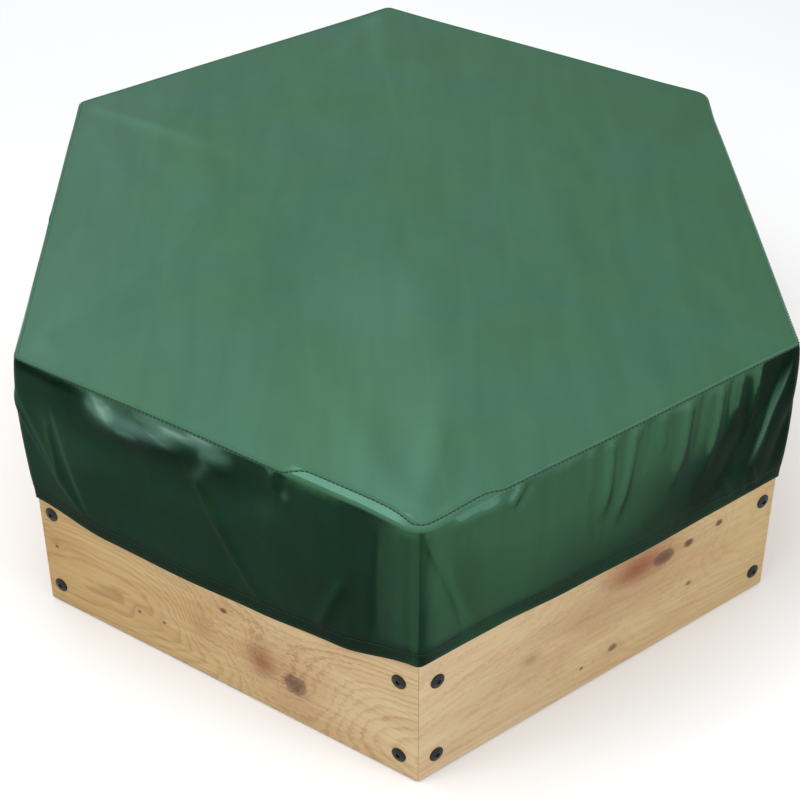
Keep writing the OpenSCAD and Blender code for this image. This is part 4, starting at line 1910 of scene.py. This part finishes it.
def painted_light_and_shade_patches() -> tuple[Fold | Swell, ...]:
    """Lists the patches of painted light and painted shade on the skirt: dark zones, paler facets and
    highlight strips.

    Returns:
        The patches, whose heights are shares of the way from the skirt's painted shade to the top's painted
        light.
    """
    left, right = Side.FRONT_LEFT, Side.FRONT_RIGHT
    return (
        Swell(left, (200, 26), (130, 30), -0.30),
        Swell(left, (510, 120), (26, 200), -0.06),
        Swell(left, (574, 120), (28, 200), 0.13),
        Swell(left, (66, 96), (60, 70), 0.05),
        Fold(right, (548, 0), (424, 196), -0.56, 36.0, 2.4),
        Fold(right, (598, 0), (556, 216), -0.72, 26.0, 2.6),
        Swell(right, (594, 10), (34, 26), -0.70),
        Swell(Side.RIGHT, (14, 110), (60, 140), -0.38),
        Swell(right, (330, 180), (200, 46), -0.10),
        Swell(right, (400, 130), (80, 60), -0.16),
        Swell(right, (250, 40), (180, 36), 0.10),
        Fold(right, (58, 8), (124, 15), 0.28, 9.0, 2.2),
        Fold(right, (44, 3), (136, 7), 0.70, 10.0, 2.2),
        Fold(right, (122, 20), (142, 4), 0.16, 9.0),
        Fold(right, (574, 8), (518, 168), -0.42, 20.0, 2.2),
        Swell(right, (524, 172), (44, 34), -0.35),
        Swell(right, (0, 120), (9, 220), -0.12),
        Swell(left, (596, 120), (8, 220), -0.06),
        Fold(right, (20, 60), (56, 200), 0.06, 20.0),
        Fold(left, (-10, 6), (112, 9), -0.55, 7.0, 2.4),
    )


def painted_sheen_patches() -> tuple[Fold | Swell, ...]:
    """Lists the patches of painted sheen: on a bulge under the left seam, and a painted highlight line along
    a pull at the right corner.

    Returns:
        The patches, whose heights are the painted sheen's strength.
    """
    left, right = Side.FRONT_LEFT, Side.FRONT_RIGHT
    return (
        Swell(left, (146, 20), (24, 20), 0.34),
        Swell(left, (184, 22), (34, 17), 0.30),
        Swell(left, (236, 13), (38, 12), 0.34),
        Swell(left, (288, 7), (34, 8), 0.40),
        Fold(left, (122, 12), (176, 30), 0.36, 11.0, 3.2),
        Fold(left, (176, 27), (262, 22), 0.34, 9.0, 3.2),
        Fold(left, (232, 12), (318, 10), 0.26, 6.0, 3.0),
        Fold(left, (124, 4), (158, 32), 0.25, 4.0),
        Fold(left, (168, 38), (200, 38), 0.42, 3.0),
        Fold(left, (206, 4), (282, 13), 0.40, 4.0),
        Fold(left, (292, 22), (338, 14), 0.42, 7.0),
        Fold(left, (304, 30), (280, 64), 0.20, 6.0),
        Fold(left, (120, 5), (150, 9), 0.35, 2.0),
        Fold(left, (138, 18), (160, 12), 0.30, 2.0),
        Fold(left, (214, 20), (250, 30), 0.25, 2.4),
        Fold(left, (270, 3), (320, 6), 0.40, 2.6),
        Fold(left, (60, 60), (96, 206), 0.16, 3.0),
        Fold(left, (0, 50), (80, 196), 0.14, 3.0),
        Fold(right, (574, 30), (526, 148), 0.55, 2.6),
    )


def main() -> None:
    """Builds every piece around the frame, in order."""
    logging.basicConfig(level=logging.INFO, format="%(name)s: %(message)s")
    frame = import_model()
    plan = Footprint.from_frame()
    LOG.info("footprint %.4f %.4f %.4f", plan.half_width, plan.half_depth, plan.half_side)

    Studio().build()
    Timber(frame["nodes"], plan).dress()
    steel = BlackCoatedSteel("black_coated_steel")
    for name in ("side_screws_lower", "side_screws_upper", "seat_screws"):
        steel.dress(frame["nodes"][name])
    Liner(plan).build(GroundFabric("needle_punched_ground_fabric"))
    shape = CoverShape(
        plan,
        top=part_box("cover_top_panel")[1].z,
        folds=skirt_folds() + chance_folds(plan, 41),
        swells=skirt_swells(),
        light_and_shade_patches=painted_light_and_shade_patches(),
        sheen_patches=painted_sheen_patches(),
    )
    Cover(shape).build(CoatedPolyester("coated_polyester_oxford"), SewingThread("bonded_sewing_thread"))


if __name__ == "__main__":
    main()
